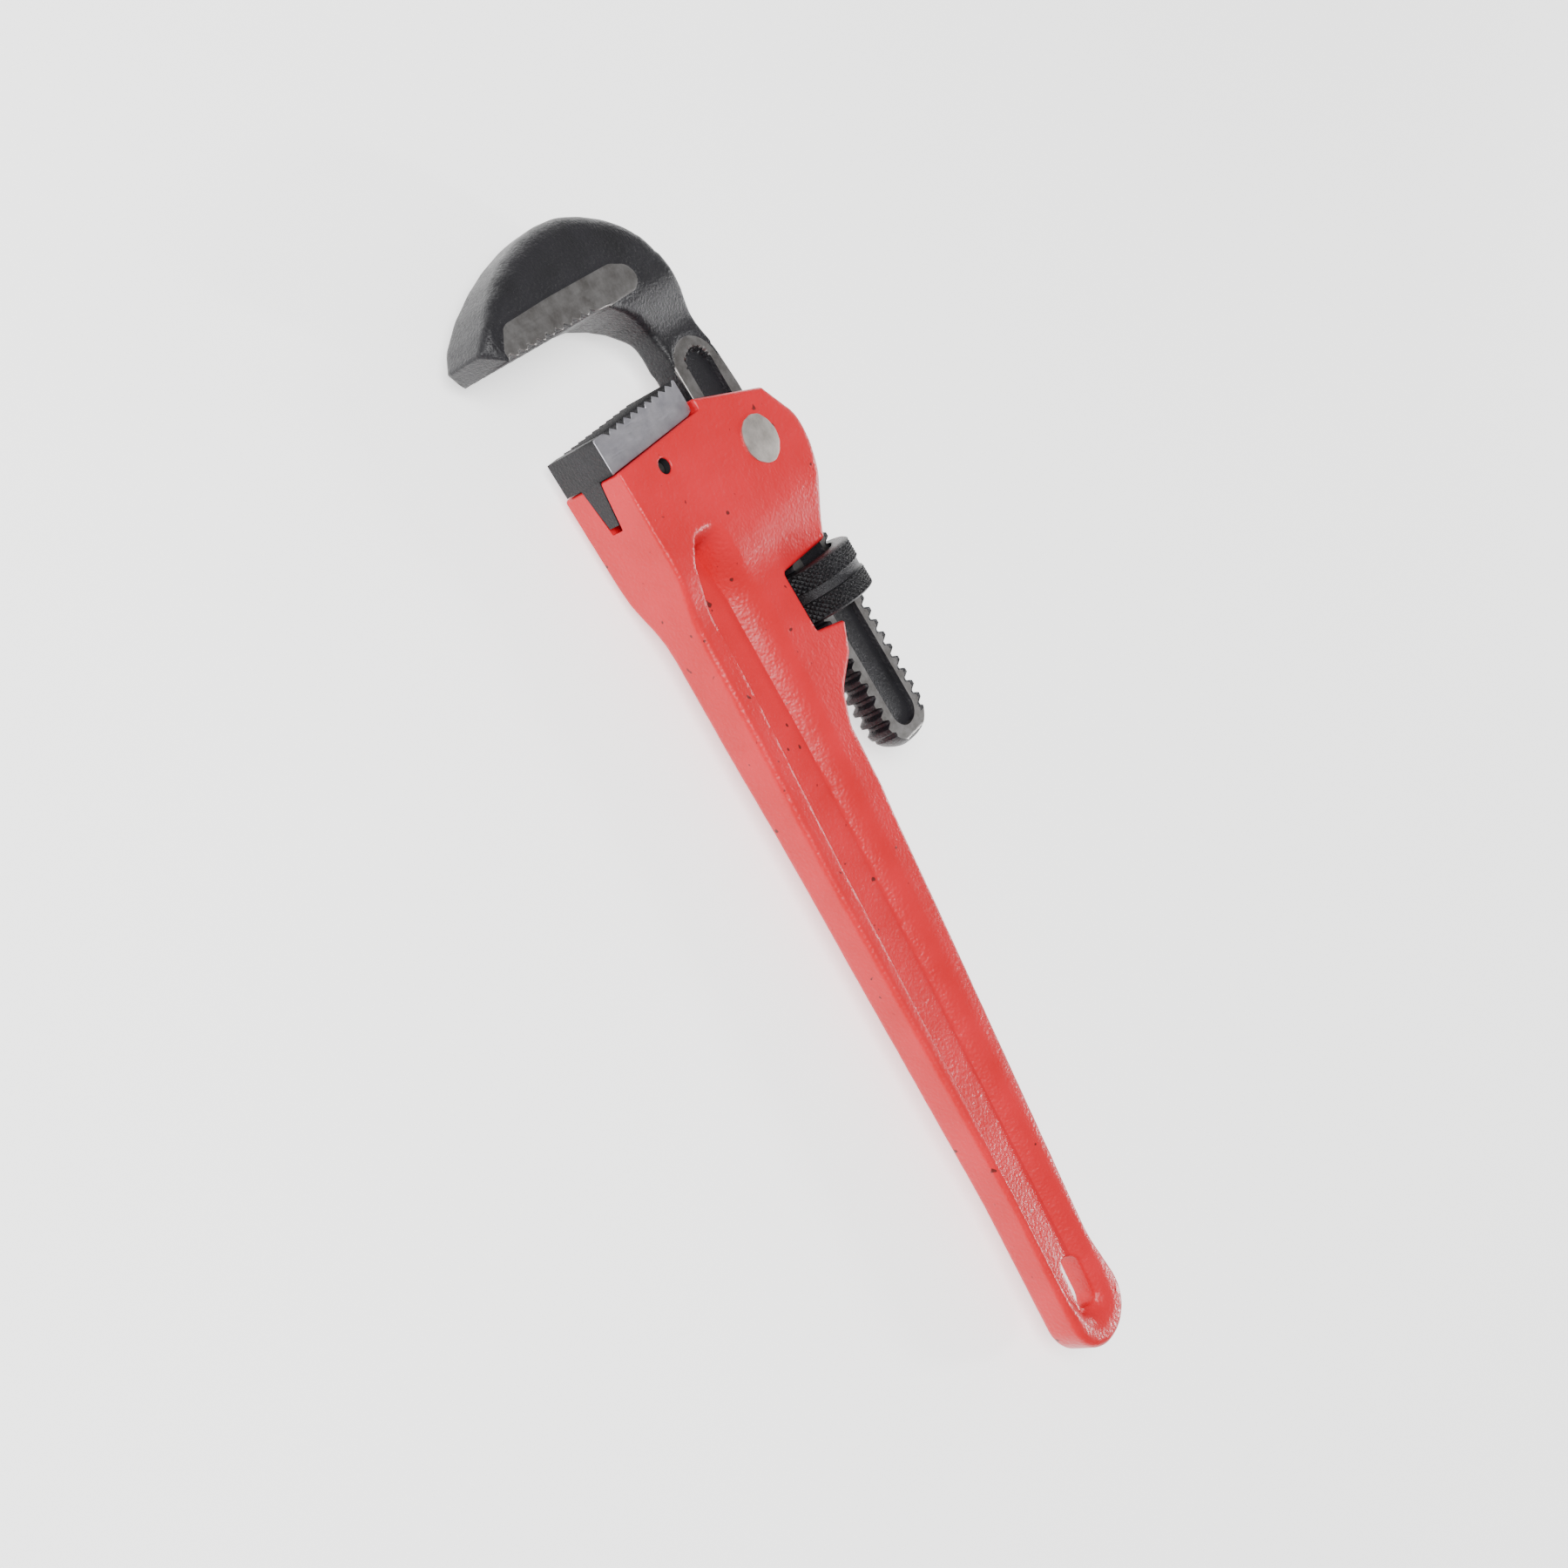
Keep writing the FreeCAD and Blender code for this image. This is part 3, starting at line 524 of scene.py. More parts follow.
def make_pad(name, side):
    """A ground pad on the housing's side: a disc turned about its axis, with a fine broken edge."""
    radius = np.array([0.0, 9.2, 9.55, 9.6, 9.6, 0.0])
    lift = np.array([16.1, 16.1, 16.02, 15.8, 14.6, 14.6])
    turn = np.linspace(0, 2 * math.pi, 96, endpoint=False)
    ragged = 1 + 0.012 * np.sin(5 * turn + 1.0) + 0.008 * np.sin(13 * turn)
    reach = radius[:, None] * ragged
    points = np.stack([PAD_X + reach * np.cos(turn), PAD_Y + reach * np.sin(turn),
                       side * np.broadcast_to(lift[:, None], reach.shape)], -1)
    faces = tube(points, closed=False)
    return mesh_object(name, points.reshape(-1, 3), faces if side < 0 else faces[:, ::-1])


def heel_outline():
    """The heel jaw's side: teeth along the mouth, flat nose, seat and broken back corner."""
    teeth = notches(*HEEL_TEETH, 2.0, 1)
    rest = [(-0.3, -77.4), (13.2, -77.4), (11.2, -28.5), (10.0, -25.4), (-2.4, -25.4)]
    line = np.vstack([teeth, rest])
    return filled(np.column_stack([line, np.full(len(line), 0.22)]), 1.6)[::-1]


def make_heel_jaw():
    """The toothed block with bare ground faces, and its tapering tail in the housing's slot."""
    block = plate("heel_jaw_block", [heel_outline()], lambda x, y: JAW_HALF + 0.02 * lumps(x, y, 9), 2.2,
                  kind=lambda middle: np.ones(len(middle), int))
    profile = [(11.0, -5.4), (29.6, -2.4), (29.6, 2.4), (11.0, 5.4)]
    tail = prism("heel_jaw_tail", profile, -77.3, -34.0, (0, 2, 1))
    return block, tail


def hook_height(x, y):
    """Half thickness of the hook jaw.

    The head is flat with a slightly raised ground strip and falls away at its nose and its crown;
    the neck sinks in an S curve to the shank's side, and a short steep step stands round the
    knuckle; the pocket is cut below the shank's side.
    """
    points = np.column_stack([x, y])
    away = np.hypot(np.minimum(x - KNUCKLE_X, 0), y - KNUCKLE_Y) - KNUCKLE_RADIUS
    away = np.where(x > KNUCKLE_X, np.abs(y - KNUCKLE_Y) - KNUCKLE_RADIUS, away)
    neck = SHANK_HALF + 0.6 * smooth(away / 1.4) + 6.5 * smooth((-16.0 - x) / 22.0)
    strip = rounded(GROUND_STRIP, 1.0)
    beside, _ = nearest(points, [strip])
    bare = inside(points, strip)
    step = np.where(bare, 0.0, 0.22 * smooth(beside / 0.5) * smooth((-24 - x) / 10))
    nose = 3.0 * smooth((-91.5 - y) / 9.0)
    crown = 1.4 * smooth((-50 - x) / 24.0)
    head = np.minimum(np.where(x > -6, SHANK_HALF, neck), JAW_HALF) - step
    head = head - np.where((x < -20) & ~bare, nose + crown, 0.0)
    uneven = np.where((x < -14) & ~bare, 0.10 * lumps(x, y, 13, 1.0) - 0.1, 0.0)
    return head - pocket_depth(points) + uneven


def pocket_line(inset):
    """The upper part of the pocket: round at its top, and ended just short of the threaded part."""
    half = POCKET_HALF - inset
    turn = np.linspace(math.pi / 2, 3 * math.pi / 2, 40)
    centre = POCKET_TOP + POCKET_HALF
    arc = np.column_stack([centre + half * np.cos(turn), half * np.sin(turn)])
    line = np.vstack([arc, [(48.9, -half), (48.9, half)]])
    return filled(np.column_stack([line, np.zeros(len(line))]), 1.0)


def pocket_depth(points):
    """How far a point is sunk: nothing outside the pocket, half its depth on the wall, all below."""
    wall, floor = pocket_line(0.0), pocket_line(POCKET_WALL)
    return np.where(inside(points, floor), POCKET_DEPTH,
                    np.where(inside(points, wall), POCKET_DEPTH / 2, 0.0))


def make_hook_head(sizes):
    """The hook, its neck and the plain upper part of the shank, in one mesh with two finishes."""
    first, last, count = HOOK_TEETH
    teeth = notches(last, first, count, sizes.tooth_depth * 1000, 1)
    outer = rounded(HOOK_OUTER + HOOK_INNER, 1.1)
    # The rounded line closes from the throat back to the nose; the teeth replace that run.
    x, y = outer[:, 0], outer[:, 1]
    body = outer[~((x > -43.0) & (x < -35.9) & (y > -99.0) & (y < -36.0))]
    runs = np.linalg.norm(np.diff(body[:, :2], axis=0, append=body[:1, :2]), axis=1)
    body = np.roll(body, -(np.argmax(runs) + 1), axis=0)
    bite = np.column_stack([teeth, np.full(len(teeth), 0.25)])
    to_first, to_last = (np.linalg.norm(body[-1, :2] - bite[k, :2]) for k in (0, -1))
    bite = bite if to_first < to_last else bite[::-1]
    outline = filled(np.vstack([body, bite]), 1.3)
    walls = [pocket_line(0.0), pocket_line(POCKET_WALL)]

    def kind(middle):
        """1 where the steel is ground bare: the strip, and the knuckle and shank round the pocket."""
        band = np.hypot(np.minimum(middle[:, 0] - KNUCKLE_X, 0), middle[:, 1] - KNUCKLE_Y) < KNUCKLE_RADIUS
        band |= middle[:, 0] > KNUCKLE_X
        band &= ~inside(middle, walls[0])
        return (band | inside(middle, rounded(GROUND_STRIP, 1.0))).astype(int)

    turn = np.linspace(math.pi / 2, 3 * math.pi / 2, 36)
    knuckle = np.column_stack([KNUCKLE_X + KNUCKLE_RADIUS * np.cos(turn),
                               KNUCKLE_Y + KNUCKLE_RADIUS * np.sin(turn)])
    knuckle = np.vstack([knuckle, [(48.0, -13.0), (48.0, 11.0)]])
    knuckle = filled(np.column_stack([knuckle, np.zeros(len(knuckle))]), 1.0)
    lines = walls + [rounded(GROUND_STRIP, 1.0), knuckle]
    return plate("hook_head", [outline], hook_height, 1.15, crisp=lines, kind=kind)


def thread_radius(phase, gap=0.0):
    """The screw thread's radius: flat crest, straight flanks, flat root, by the distance to the crest.

    A gap makes it the nut's thread, that much wider all round.
    """
    away = np.abs((phase + 0.5) % 1.0 - 0.5) * LEAD
    return THREAD_ROOT + gap + THREAD_HEIGHT * np.clip((THREAD_REACH + gap - away) / THREAD_FLANK, 0, 1)


def make_shank():
    """The screw part of the shank: stations along it, each a ring with two threaded edges and two sides.

    The edges follow a right-hand helix, radius R(x - LEAD * angle / 2 pi); the sides are flat with
    the pocket sunk between; the free end is rounded with the crest's radius.
    """
    x = np.concatenate([np.arange(SHANK_START, SHANK_ROUND, SHANK_STEP),
                        SHANK_ROUND + CREST_RADIUS * np.sin(np.linspace(0, math.pi / 2, 60))])
    end = np.sqrt(np.maximum(CREST_RADIUS ** 2 - np.maximum(x - SHANK_ROUND, 0) ** 2, 0.0))
    edge_z = np.linspace(-1, 1, 13)
    # The corner of thread and side is broken by a fine flat, so its highlight shows.
    edge_z = np.concatenate([[-1.0], edge_z[1:-1] * 0.975, [1.0]])
    z = SHANK_HALF * edge_z
    angle = np.arcsin(z / CREST_RADIUS)
    helix = LEAD * angle / (2 * math.pi)
    back = thread_radius((x[:, None] - CREST - helix[None, :]) / LEAD)
    front = thread_radius((x[:, None] - CREST + helix[None, :]) / LEAD - 0.5)
    back_y = np.sqrt(np.maximum(np.minimum(back, end[:, None]) ** 2 - z ** 2, 0.0))
    front_y = -np.sqrt(np.maximum(np.minimum(front, end[:, None]) ** 2 - z ** 2, 0.0))
    slim = 0.18 * (np.abs(edge_z) > 0.99)
    back_y, front_y = back_y - slim, front_y + slim
    centre = POCKET_END - POCKET_HALF
    wide = np.sqrt(np.maximum(POCKET_HALF ** 2 - np.maximum(x - centre, 0) ** 2, 0.0))
    inner = np.maximum(wide - POCKET_WALL, 0.0)
    sunk = np.where(inner > 0.3, POCKET_DEPTH, 0.0)

    def side(upper):
        """One flat side from the back edge to the front edge: rim, pocket wall, floor, wall, rim."""
        start = back_y[:, -1] if upper else back_y[:, 0]
        stop = front_y[:, -1] if upper else front_y[:, 0]
        wide_here = np.minimum(wide, np.minimum(start, -stop) - 0.05)
        wide_here = np.maximum(wide_here, 0.0)
        inner_here = np.minimum(inner, wide_here)
        ys = [start + (wide_here - start) * k for k in (0.33, 0.66, 0.96)] + [wide_here, inner_here]
        ys += [inner_here * k for k in (0.6, 0.2, -0.2, -0.6)] + [-inner_here, -wide_here]
        ys += [stop + (-wide_here - stop) * k for k in (0.96, 0.66, 0.33)]
        on_floor = np.array([0, 0, 0, 0, 1, 1, 1, 1, 1, 1, 0, 0, 0, 0])
        return np.stack(ys, 1), SHANK_HALF - sunk[:, None] * on_floor

    top_y, top_z = side(True)
    low_y, low_z = side(False)
    ring_y = np.hstack([back_y, top_y, front_y[:, ::-1], low_y[:, ::-1]])
    ring_z = np.hstack([np.broadcast_to(z, back_y.shape), top_z, np.broadcast_to(z[::-1], front_y.shape),
                        -low_z[:, ::-1]])
    # The rounded end also closes in thickness over its last few millimetres.
    round_off = np.sqrt(np.clip(1 - (np.maximum(x - 161.0, 0) / 4.0) ** 2, 0.0, 1))
    ring_z = np.clip(ring_z, -end[:, None], end[:, None]) * round_off[:, None]
    grid = np.stack([np.broadcast_to(x[:, None], ring_y.shape), ring_y, ring_z], -1)
    rings, places = grid.shape[:2]
    # Each ring runs over the back edge, the upper side, the front edge and the lower side. The
    # sides are ground bare beside the pocket, and all over between the pocket and the free end.
    edge, flat = len(z), top_y.shape[1]
    across = np.tile(np.arange(places), 2 * (rings - 1))
    station = np.tile(np.repeat(np.arange(rings - 1), places), 2)
    upper = across < 2 * edge + flat
    on_side = across - np.where(upper, edge, 2 * edge + flat)
    beside = ((on_side >= 0) & (on_side < 3)) | ((on_side >= 10) & (on_side < flat))
    whole = (across >= edge - 1) & (across < edge + flat) | (across >= 2 * edge + flat - 1)
    whole &= x[station] > 157.6
    kinds = ((beside | whole) & (x[station] < 162.2)).astype(int)
    points = np.vstack([grid.reshape(-1, 3), [[SHANK_START, 0.0, 0.0]]])
    ring = np.arange(places)
    lid = np.column_stack([np.roll(ring, -1), ring, np.full(places, rings * places)])
    faces = np.vstack([tube(grid, closed=False), lid])
    kinds = np.concatenate([kinds, np.zeros(places, int)])
    return mesh_object("hook_shank", points, faces, 32.0, kinds)


def make_nut(sizes):
    """The adjusting nut: a closed profile turned about the shank, knurled outside, threaded inside.

    The knurl is two crossing families of V grooves, so its depth at a point is the greater of two
    triangle waves of (round the rim + along it) and (round the rim - along it).
    """
    steps = np.concatenate([np.linspace(0.9, 8.1, 40), [8.3, 8.6], np.linspace(8.9, 12.1, 8), [12.4, 12.7],
                            np.linspace(12.9, 20.1, 40)])
    turn = np.linspace(0, 2 * math.pi, 540, endpoint=False)
    pitch = 2 * math.pi * NUT_RADIUS / KNURL_COUNT

    def groove(value):
        """A triangle wave cut off below, so that each diamond keeps a small flat top."""
        return np.clip(np.abs((value % 1.0) - 0.5) * 2 * 1.15 - 0.15, 0, 1)

    along = steps[:, None] / (pitch * 0.85)
    around = turn[None, :] * KNURL_COUNT / (2 * math.pi)
    cut = np.maximum(groove(around + along), groove(around - along))
    banded = ((steps < 8.2) | (steps > 12.8))[:, None]
    plain = smooth(np.minimum(steps - 8.1, 12.9 - steps) / 0.6)[:, None]
    fade = smooth(np.minimum(steps - 0.6, 20.4 - steps) / 0.9)[:, None]
    outer = NUT_RADIUS - np.where(banded, sizes.knurl_depth * 1000 * cut * fade, plain)
    inside_x = np.linspace(20.6, 0.4, 74)
    phase = (inside_x[:, None] + NUT_START - CREST) / LEAD - turn[None, :] / (2 * math.pi)
    bore = thread_radius(phase, NUT_PLAY)
    ends_low = [(0.4, 12.6), (0.0, 13.4), (0.0, 15.6), (0.0, 17.9), (0.25, 18.6), (0.6, 19.1)]
    ends_high = [(20.4, 19.1), (20.75, 18.6), (21.0, 17.9), (21.0, 15.6), (21.0, 13.4), (20.6, 12.6)]
    low_x, low_r = np.array(ends_low[1:]).T
    high_x, high_r = np.array(ends_high[:-1]).T
    x = np.concatenate([low_x, steps, high_x, inside_x])
    flat = np.ones((1, len(turn)))
    r = np.vstack([low_r[:, None] * flat, outer, high_r[:, None] * flat, bore])
    points = np.stack([NUT_START + x[:, None] * flat, r * np.cos(turn), r * np.sin(turn)], -1)
    return mesh_object("nut", points.reshape(-1, 3), tube(points), 50.0)


# ---------------------------------------------------------------- materials

def linear(code):
    """A colour written as sRGB hex, turned to the linear values that the shader takes."""
    parts = [int(code[k:k + 2], 16) / 255 for k in (1, 3, 5)]
    return tuple(c / 12.92 if c <= 0.04045 else ((c + 0.055) / 1.055) ** 2.4 for c in parts) + (1.0,)


def add(tree, kind, settings=None, **inputs):
    """Add one node with its settings; an input is a value or another node's output."""
    node = tree.nodes.new(kind)
    for name, value in (settings or {}).items():
        setattr(node, name, value)
    for name, value in inputs.items():
        key = int(name[1:]) if name[0] == "_" else name.replace("_", " ")
        if isinstance(value, bpy.types.NodeSocket):
            tree.links.new(value, node.inputs[key])
        else:
            node.inputs[key].default_value = value
    return node


def start_material(name):
    """An empty material with its shader and its Object coordinates."""
    material = bpy.data.materials.new(name)
    material.use_nodes = True
    tree = material.node_tree
    tree.nodes.clear()
    shader = add(tree, "ShaderNodeBsdfPrincipled")
    out = add(tree, "ShaderNodeOutputMaterial")
    tree.links.new(shader.outputs[0], out.inputs[0])
    place = add(tree, "ShaderNodeTexCoord").outputs["Object"]
    return material, tree, shader, place


def per(size):
    """The scale of a pattern in metres from a real size in millimetres."""
    return 1000.0 / size


def enamel(colour):
    """Red stoving enamel, sprayed over a sand casting.

    The paint is glossy but follows the sand's grain, so highlights break into pebbles one to two
    millimetres across. Its red drifts a little over a few centimetres and a few pinholes stay dark.
    """
    material, tree, shader, place = start_material("red enamel on cast iron")
    grain = add(tree, "ShaderNodeTexNoise", Vector=place, Scale=per(1.7), Detail=3.0, Roughness=0.55)
    sand = add(tree, "ShaderNodeTexVoronoi", {"feature": "SMOOTH_F1"}, Vector=place, Scale=per(1.25))
    cloud = add(tree, "ShaderNodeTexNoise", Vector=place, Scale=per(22), Detail=2.0)
    tone = add(tree, "ShaderNodeValToRGB", Fac=cloud.outputs["Fac"])
    tone.color_ramp.elements[0].position = 0.3
    tone.color_ramp.elements[1].position = 0.72
    tone.color_ramp.elements[0].color = linear(colour)
    tone.color_ramp.elements[1].color = linear("#c51424")
    holes = add(tree, "ShaderNodeTexNoise", Vector=place, Scale=per(4.2), Detail=1.0)
    pin = add(tree, "ShaderNodeMapRange", Value=holes.outputs["Fac"], From_Min=0.745, From_Max=0.77)
    paint = add(tree, "ShaderNodeMix", {"data_type": "RGBA"}, Factor=pin.outputs[0], _6=tone.outputs[0],
                _7=linear("#5a1512"))
    gloss = add(tree, "ShaderNodeMapRange", Value=grain.outputs["Fac"], To_Min=0.26, To_Max=0.42)
    low = add(tree, "ShaderNodeBump", Strength=0.42, Distance=0.00035, Height=sand.outputs["Distance"])
    high = add(tree, "ShaderNodeBump", Strength=0.5, Distance=0.0003, Height=grain.outputs["Fac"],
               Normal=low.outputs[0])
    tree.links.new(paint.outputs[2], shader.inputs["Base Color"])
    tree.links.new(gloss.outputs[0], shader.inputs["Roughness"])
    tree.links.new(high.outputs[0], shader.inputs["Normal"])
    shader.inputs["Specular IOR Level"].default_value = 0.34
    return material


def dark_skin(name, colour, grain_size, rough, metal):
    """A thin dark skin on iron or steel: lacquer, phosphate, black oxide, blueing, or bare iron in painted
    shade.

    It follows the grain of the surface below, of grain_size millimetres, so a broad grey sheen
    breaks into small grains; the colour drifts towards a dark grey in patches.
    """
    material, tree, shader, place = start_material(name)
    grain = add(tree, "ShaderNodeTexNoise", Vector=place, Scale=per(grain_size), Detail=3.0, Roughness=0.6)
    cloud = add(tree, "ShaderNodeTexNoise", Vector=place, Scale=per(14), Detail=3.0)
    tone = add(tree, "ShaderNodeValToRGB", Fac=cloud.outputs["Fac"])
    tone.color_ramp.elements[0].color = linear(colour)
    tone.color_ramp.elements[1].color = linear("#1d1c20")
    tone.color_ramp.elements[1].position = 0.85
    gloss = add(tree, "ShaderNodeMapRange", Value=grain.outputs["Fac"], From_Min=0.3, From_Max=0.7,
                To_Min=rough - 0.07, To_Max=rough + 0.1)
    bump = add(tree, "ShaderNodeBump", Strength=0.8, Distance=0.0005, Height=grain.outputs["Fac"])
    tree.links.new(tone.outputs[0], shader.inputs["Base Color"])
    tree.links.new(gloss.outputs[0], shader.inputs["Roughness"])
    tree.links.new(bump.outputs[0], shader.inputs["Normal"])
    shader.inputs["Metallic"].default_value = metal
    if not metal:
        shader.inputs["Specular IOR Level"].default_value = 0.36
    return material


def ground(name, colour, stain, along):
    """Bare steel from a surface grinder: fine parallel scratches and faint smoky stains.

    The scratches are about 0.25 mm apart and 6 mm long along the stroke, coarser than a real
    wheel leaves them, so that they show.
    """
    material, tree, shader, place = start_material(name)
    stretch = tuple(per(6.0) if k == along else per(0.25) for k in range(3))
    stroke = add(tree, "ShaderNodeMapping", Vector=place, Scale=stretch)
    lines = add(tree, "ShaderNodeTexNoise", Vector=stroke.outputs[0], Scale=1.0, Detail=2.0)
    cloud = add(tree, "ShaderNodeTexNoise", Vector=place, Scale=per(7), Detail=4.0, Roughness=0.65)
    tone = add(tree, "ShaderNodeValToRGB", Fac=cloud.outputs["Fac"])
    tone.color_ramp.elements[0].position = 0.32
    tone.color_ramp.elements[1].position = 0.62
    tone.color_ramp.elements[0].color = linear(stain)
    tone.color_ramp.elements[1].color = linear(colour)
    gloss = add(tree, "ShaderNodeMapRange", Value=lines.outputs["Fac"], From_Min=0.3, From_Max=0.7,
                To_Min=0.34, To_Max=0.52)
    bump = add(tree, "ShaderNodeBump", Strength=0.25, Distance=0.00006, Height=lines.outputs["Fac"])
    tree.links.new(tone.outputs[0], shader.inputs["Base Color"])
    tree.links.new(gloss.outputs[0], shader.inputs["Roughness"])
    tree.links.new(bump.outputs[0], shader.inputs["Normal"])
    shader.inputs["Metallic"].default_value = 1.0
    return material


def opal():
    """Opal acrylic sheet for the floor, lit softly from below: matt, with a very faint mottling."""
    material, tree, shader, place = start_material("opal acrylic sheet")
    cloud = add(tree, "ShaderNodeTexNoise", Vector=place, Scale=3.0, Detail=2.0)
    tone = add(tree, "ShaderNodeValToRGB", Fac=cloud.outputs["Fac"])
    tone.color_ramp.elements[0].color = linear("#f4f4f3")
    tone.color_ramp.elements[1].color = linear("#fbfbfa")
    tree.links.new(tone.outputs[0], shader.inputs["Base Color"])
    shader.inputs["Roughness"].default_value = 0.9
    shader.inputs["Emission Color"].default_value = (1.0, 1.0, 1.0, 1.0)
    shader.inputs["Emission Strength"].default_value = 1.1
    return material


# ---------------------------------------------------------------- add-on

class WRENCH_PG_sizes(bpy.types.PropertyGroup):
    """Sizes and colours that a user would change."""

    recess_depth: bpy.props.FloatProperty(
        name="Recess depth", description="Depth of the long recess below the handle's flat sides",
        default=0.0046, min=0.001, max=0.006, subtype="DISTANCE", unit="LENGTH")
    tooth_depth: bpy.props.FloatProperty(
        name="Hook tooth depth", description="Depth of the hook jaw's teeth",
        default=0.002, min=0.0005, max=0.004, subtype="DISTANCE", unit="LENGTH")
    knurl_depth: bpy.props.FloatProperty(
        name="Knurl depth", description="Depth of the nut's diamond knurl",
        default=0.0008, min=0.0001, max=0.0012, subtype="DISTANCE", unit="LENGTH")
    paint: bpy.props.StringProperty(
        name="Paint", description="Enamel colour as sRGB hex", default="#b90c19")
    lacquer: bpy.props.StringProperty(
        name="Lacquer", description="Black of the forged jaw as sRGB hex", default="#08080a")


class WRENCH_OT_casting(bpy.types.Operator):
    """Build the painted casting with its two ground pads"""

    bl_idname = "wrench.casting"
    bl_label = "Casting"

    def execute(self, context):
        sizes = context.scene.wrench_sizes
        # Unpainted iron for the channels and the pin hole, darkened nearly to black as painted shade there.
        bare_iron_and_shade = dark_skin("unpainted cast iron with painted shade", "#0d0b0a", 1.2, 0.6, 0.0)
        settle(make_casting(sizes), "frame", "red_casting", [enamel(sizes.paint), bare_iron_and_shade], "handle")
        bare = ground("ground cast iron", "#d9d2cc", "#b5aea8", 0)
        settle(make_pad("pad_near", 1), "frame", "red_casting", [bare])
        settle(make_pad("pad_far", -1), "frame", "red_casting", [bare])
        return {"FINISHED"}


class WRENCH_OT_heel_jaw(bpy.types.Operator):
    """Build the heel jaw, its tail and the finish of its pin"""

    bl_idname = "wrench.heel_jaw"
    bl_label = "Heel jaw"

    def execute(self, context):
        black = dark_skin("black phosphate on steel", "#0d0c0b", 0.9, 0.55, 0.0)
        bare = ground("ground tool steel", "#bcbac0", "#a5a3ab", 1)
        block, tail = make_heel_jaw()
        settle(block, "frame", "heel_steel", [black, bare], "heel_jaw")
        settle(tail, "frame", "heel_steel", [black])
        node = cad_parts["heel_jaw_pin"]
        node.data.materials.clear()
        node.data.materials.append(ground("turned steel pin", "#6d6a68", "#4f4c4a", 2))
        return {"FINISHED"}


class WRENCH_OT_hook_jaw(bpy.types.Operator):
    """Build the hook jaw: head and neck, and the screw part of the shank"""

    bl_idname = "wrench.hook_jaw"
    bl_label = "Hook jaw"

    def execute(self, context):
        sizes = context.scene.wrench_sizes
        black = dark_skin("black lacquer on forged steel", sizes.lacquer, 1.1, 0.38, 0.0)
        bare = ground("ground forged steel", "#8a8887", "#6a6765", 1)
        settle(make_hook_head(sizes), "hook", "hook_steel", [black, bare], "hook_jaw")
        settle(make_shank(), "hook", "hook_steel", [black, bare])
        return {"FINISHED"}


class WRENCH_OT_nut(bpy.types.Operator):
    """Build the knurled adjusting nut"""

    bl_idname = "wrench.nut"
    bl_label = "Adjusting nut"

    def execute(self, context):
        sizes = context.scene.wrench_sizes
        black = dark_skin("black oxide on knurled steel", "#0b0b0c", 0.5, 0.36, 0.3)
        settle(make_nut(sizes), "nut", "nut_steel", [black], "adjusting_nut")
        return {"FINISHED"}


class WRENCH_OT_springs(bpy.types.Operator):
    """Give the springs and the rivet their finishes"""

    bl_idname = "wrench.springs"
    bl_label = "Springs"

    def execute(self, context):
        blued = dark_skin("blued spring steel", "#1d222b", 0.6, 0.35, 0.9)
        for name in ("flat_spring", "coil_spring", "spring_rivet"):
            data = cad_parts[name].data
            data.materials.clear()
            data.materials.append(blued)
        return {"FINISHED"}


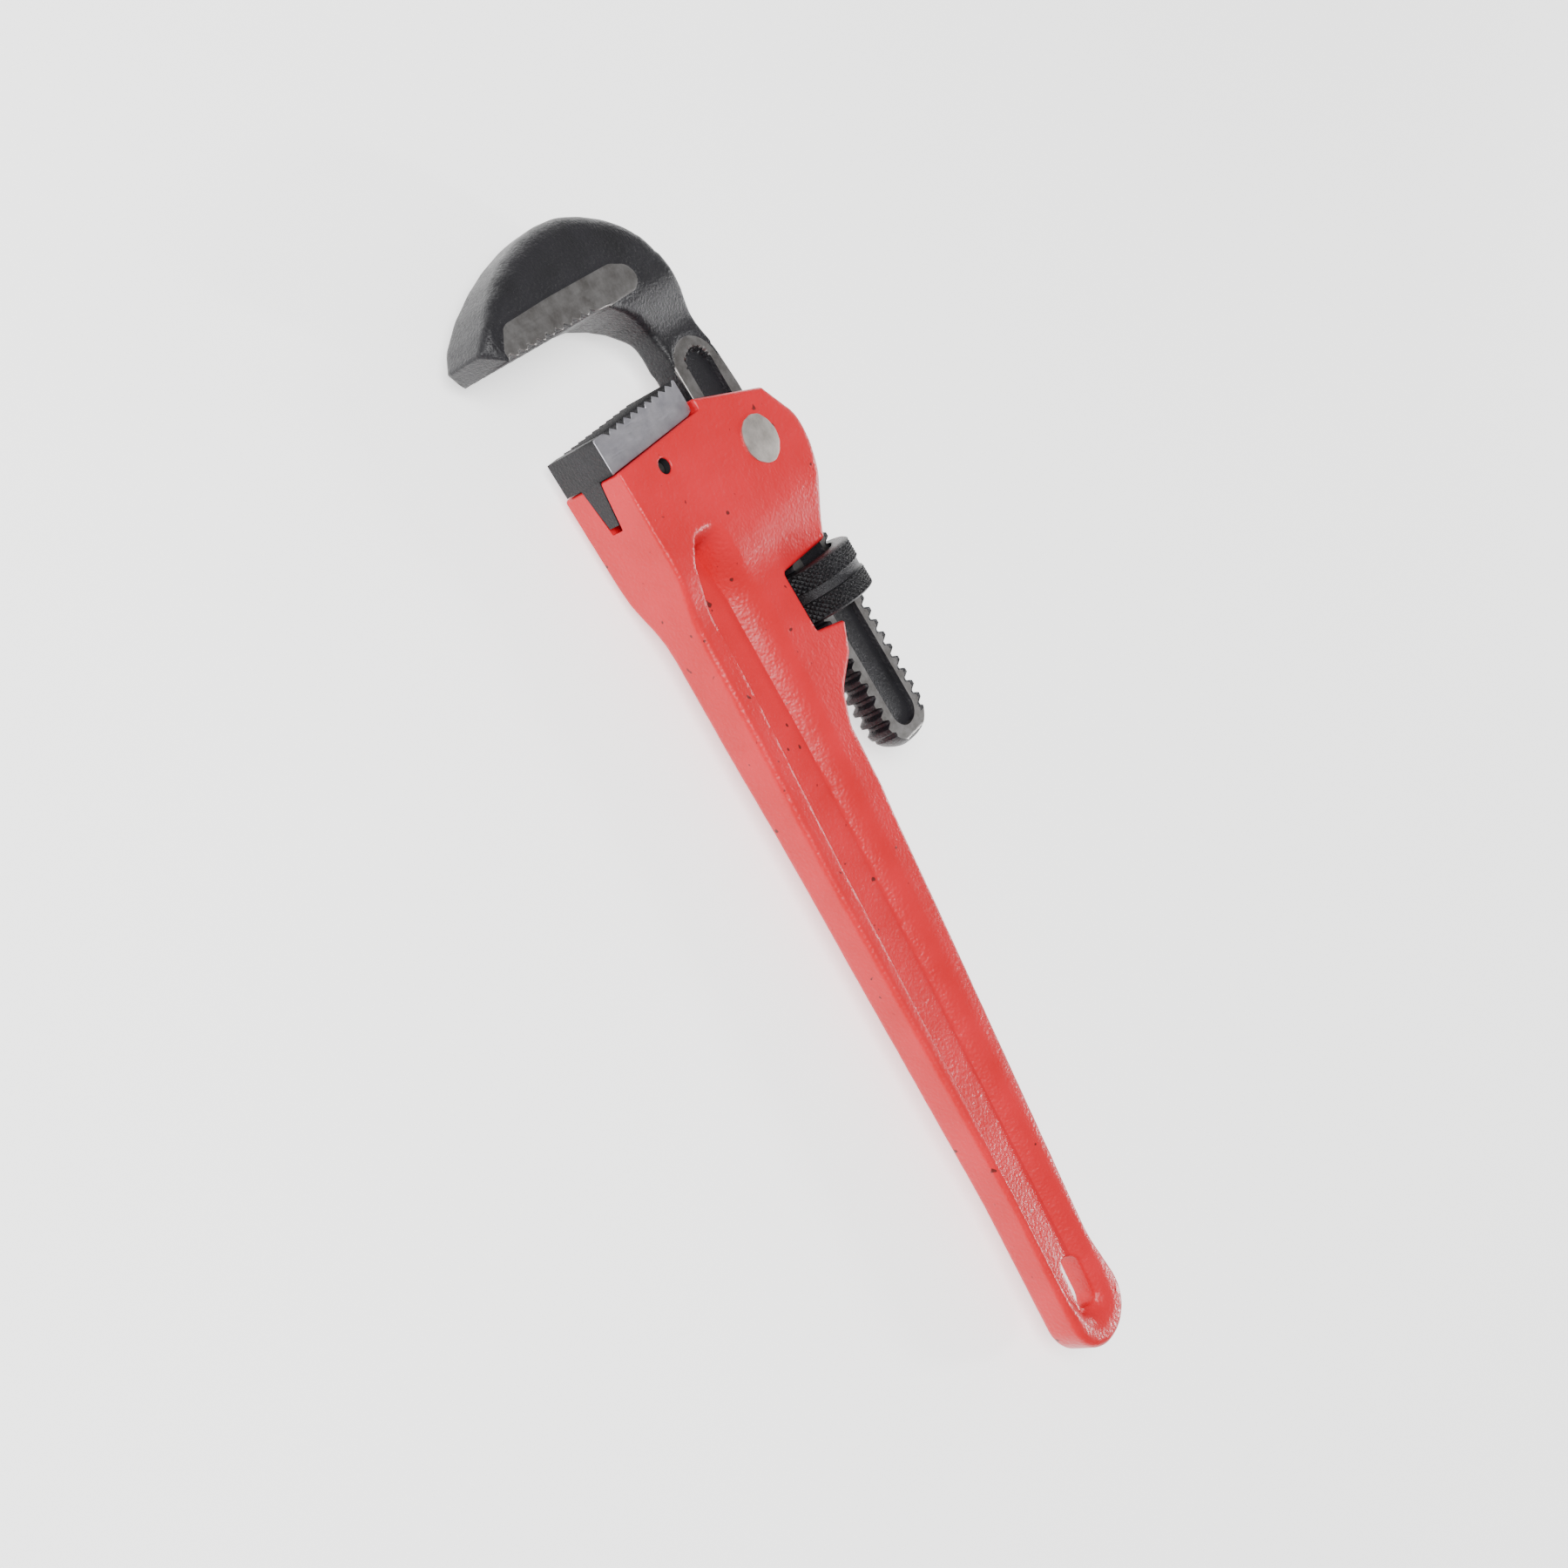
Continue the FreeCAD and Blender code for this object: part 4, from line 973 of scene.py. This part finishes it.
class WRENCH_OT_stage(bpy.types.Operator):
    """Build the floor, the lights and the camera"""

    bl_idname = "wrench.stage"
    bl_label = "Stage"

    def execute(self, context):
        scene = context.scene
        mesh = bpy.data.meshes.new("floor")
        reach = 25.0
        mesh.from_pydata([(-reach, -reach, 0), (reach, -reach, 0), (reach, reach, 0), (-reach, reach, 0)], [],
                         [(0, 1, 2, 3)])
        floor = bpy.data.objects.new("floor", mesh)
        scene.collection.objects.link(floor)
        mesh.materials.append(opal())
        # Lamps: name, place, aim, width in metres and power in watts.
        for name, place, aim, size, power in (
                ("key", (-0.5, -1.0, 1.55), (0.0, 0.0, 0.0), 1.2, 62.0),
                ("edge", (0.5, 1.75, 0.35), (-0.1, 0.0, 0.0), 0.5, 9.0),
                ("shoulder", (1.3, 1.38, 0.72), (-0.1, 0.0, 0.0), 0.25, 20.0)):
            light = bpy.data.lights.new(name, "AREA")
            light.shape = "DISK"
            light.size = size
            light.energy = power
            lamp = bpy.data.objects.new(name, light)
            lamp.location = place
            lamp.rotation_euler = (Vector(aim) - Vector(place)).to_track_quat("-Z", "Y").to_euler()
            scene.collection.objects.link(lamp)
        world = bpy.data.worlds.new("studio")
        world.use_nodes = True
        scene.world = world
        back = world.node_tree.nodes["Background"]
        back.inputs["Color"].default_value = (1.0, 1.0, 1.0, 1.0)
        back.inputs["Strength"].default_value = 0.55
        camera = bpy.data.objects.new("camera", bpy.data.cameras.new("camera"))
        # Its axes to the right, downwards and ahead, and its place in working millimetres.
        camera.data.lens = 46.70
        camera.data.sensor_width = 36.0
        right = Vector((0.50597, 0.52025, 0.68799))
        down = Vector((0.83166, -0.50579, -0.22915))
        ahead = Vector((0.22877, 0.68812, -0.68859))
        place = Vector(row((-29.01, -585.43, 514.16)))
        turn = Matrix((right, -down, -ahead)).transposed().to_4x4()
        camera.matrix_world = Matrix.Translation(place) @ turn
        scene.collection.objects.link(camera)
        scene.camera = camera
        return {"FINISHED"}


class WRENCH_PT_panel(bpy.types.Panel):
    """The sizes, and one button for each step"""

    bl_idname = "WRENCH_PT_panel"
    bl_label = "Pipe wrench"
    bl_space_type = "VIEW_3D"
    bl_region_type = "UI"
    bl_category = "Wrench"

    def draw(self, context):
        sizes = context.scene.wrench_sizes
        for name in ("recess_depth", "tooth_depth", "knurl_depth", "paint", "lacquer"):
            self.layout.prop(sizes, name)
        for step in STEPS:
            self.layout.operator(step.bl_idname)


STEPS = (WRENCH_OT_casting, WRENCH_OT_heel_jaw, WRENCH_OT_hook_jaw, WRENCH_OT_nut, WRENCH_OT_springs,
         WRENCH_OT_stage)
CLASSES = (WRENCH_PG_sizes, *STEPS, WRENCH_PT_panel)


def register():
    for item in CLASSES:
        bpy.utils.register_class(item)
    bpy.types.Scene.wrench_sizes = bpy.props.PointerProperty(type=WRENCH_PG_sizes)


def unregister():
    del bpy.types.Scene.wrench_sizes
    for item in reversed(CLASSES):
        bpy.utils.unregister_class(item)


def main():
    """Register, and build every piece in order."""
    register()
    for step in STEPS:
        group, name = step.bl_idname.split(".")
        getattr(getattr(bpy.ops, group), name)()


if __name__ == "__main__":
    main()
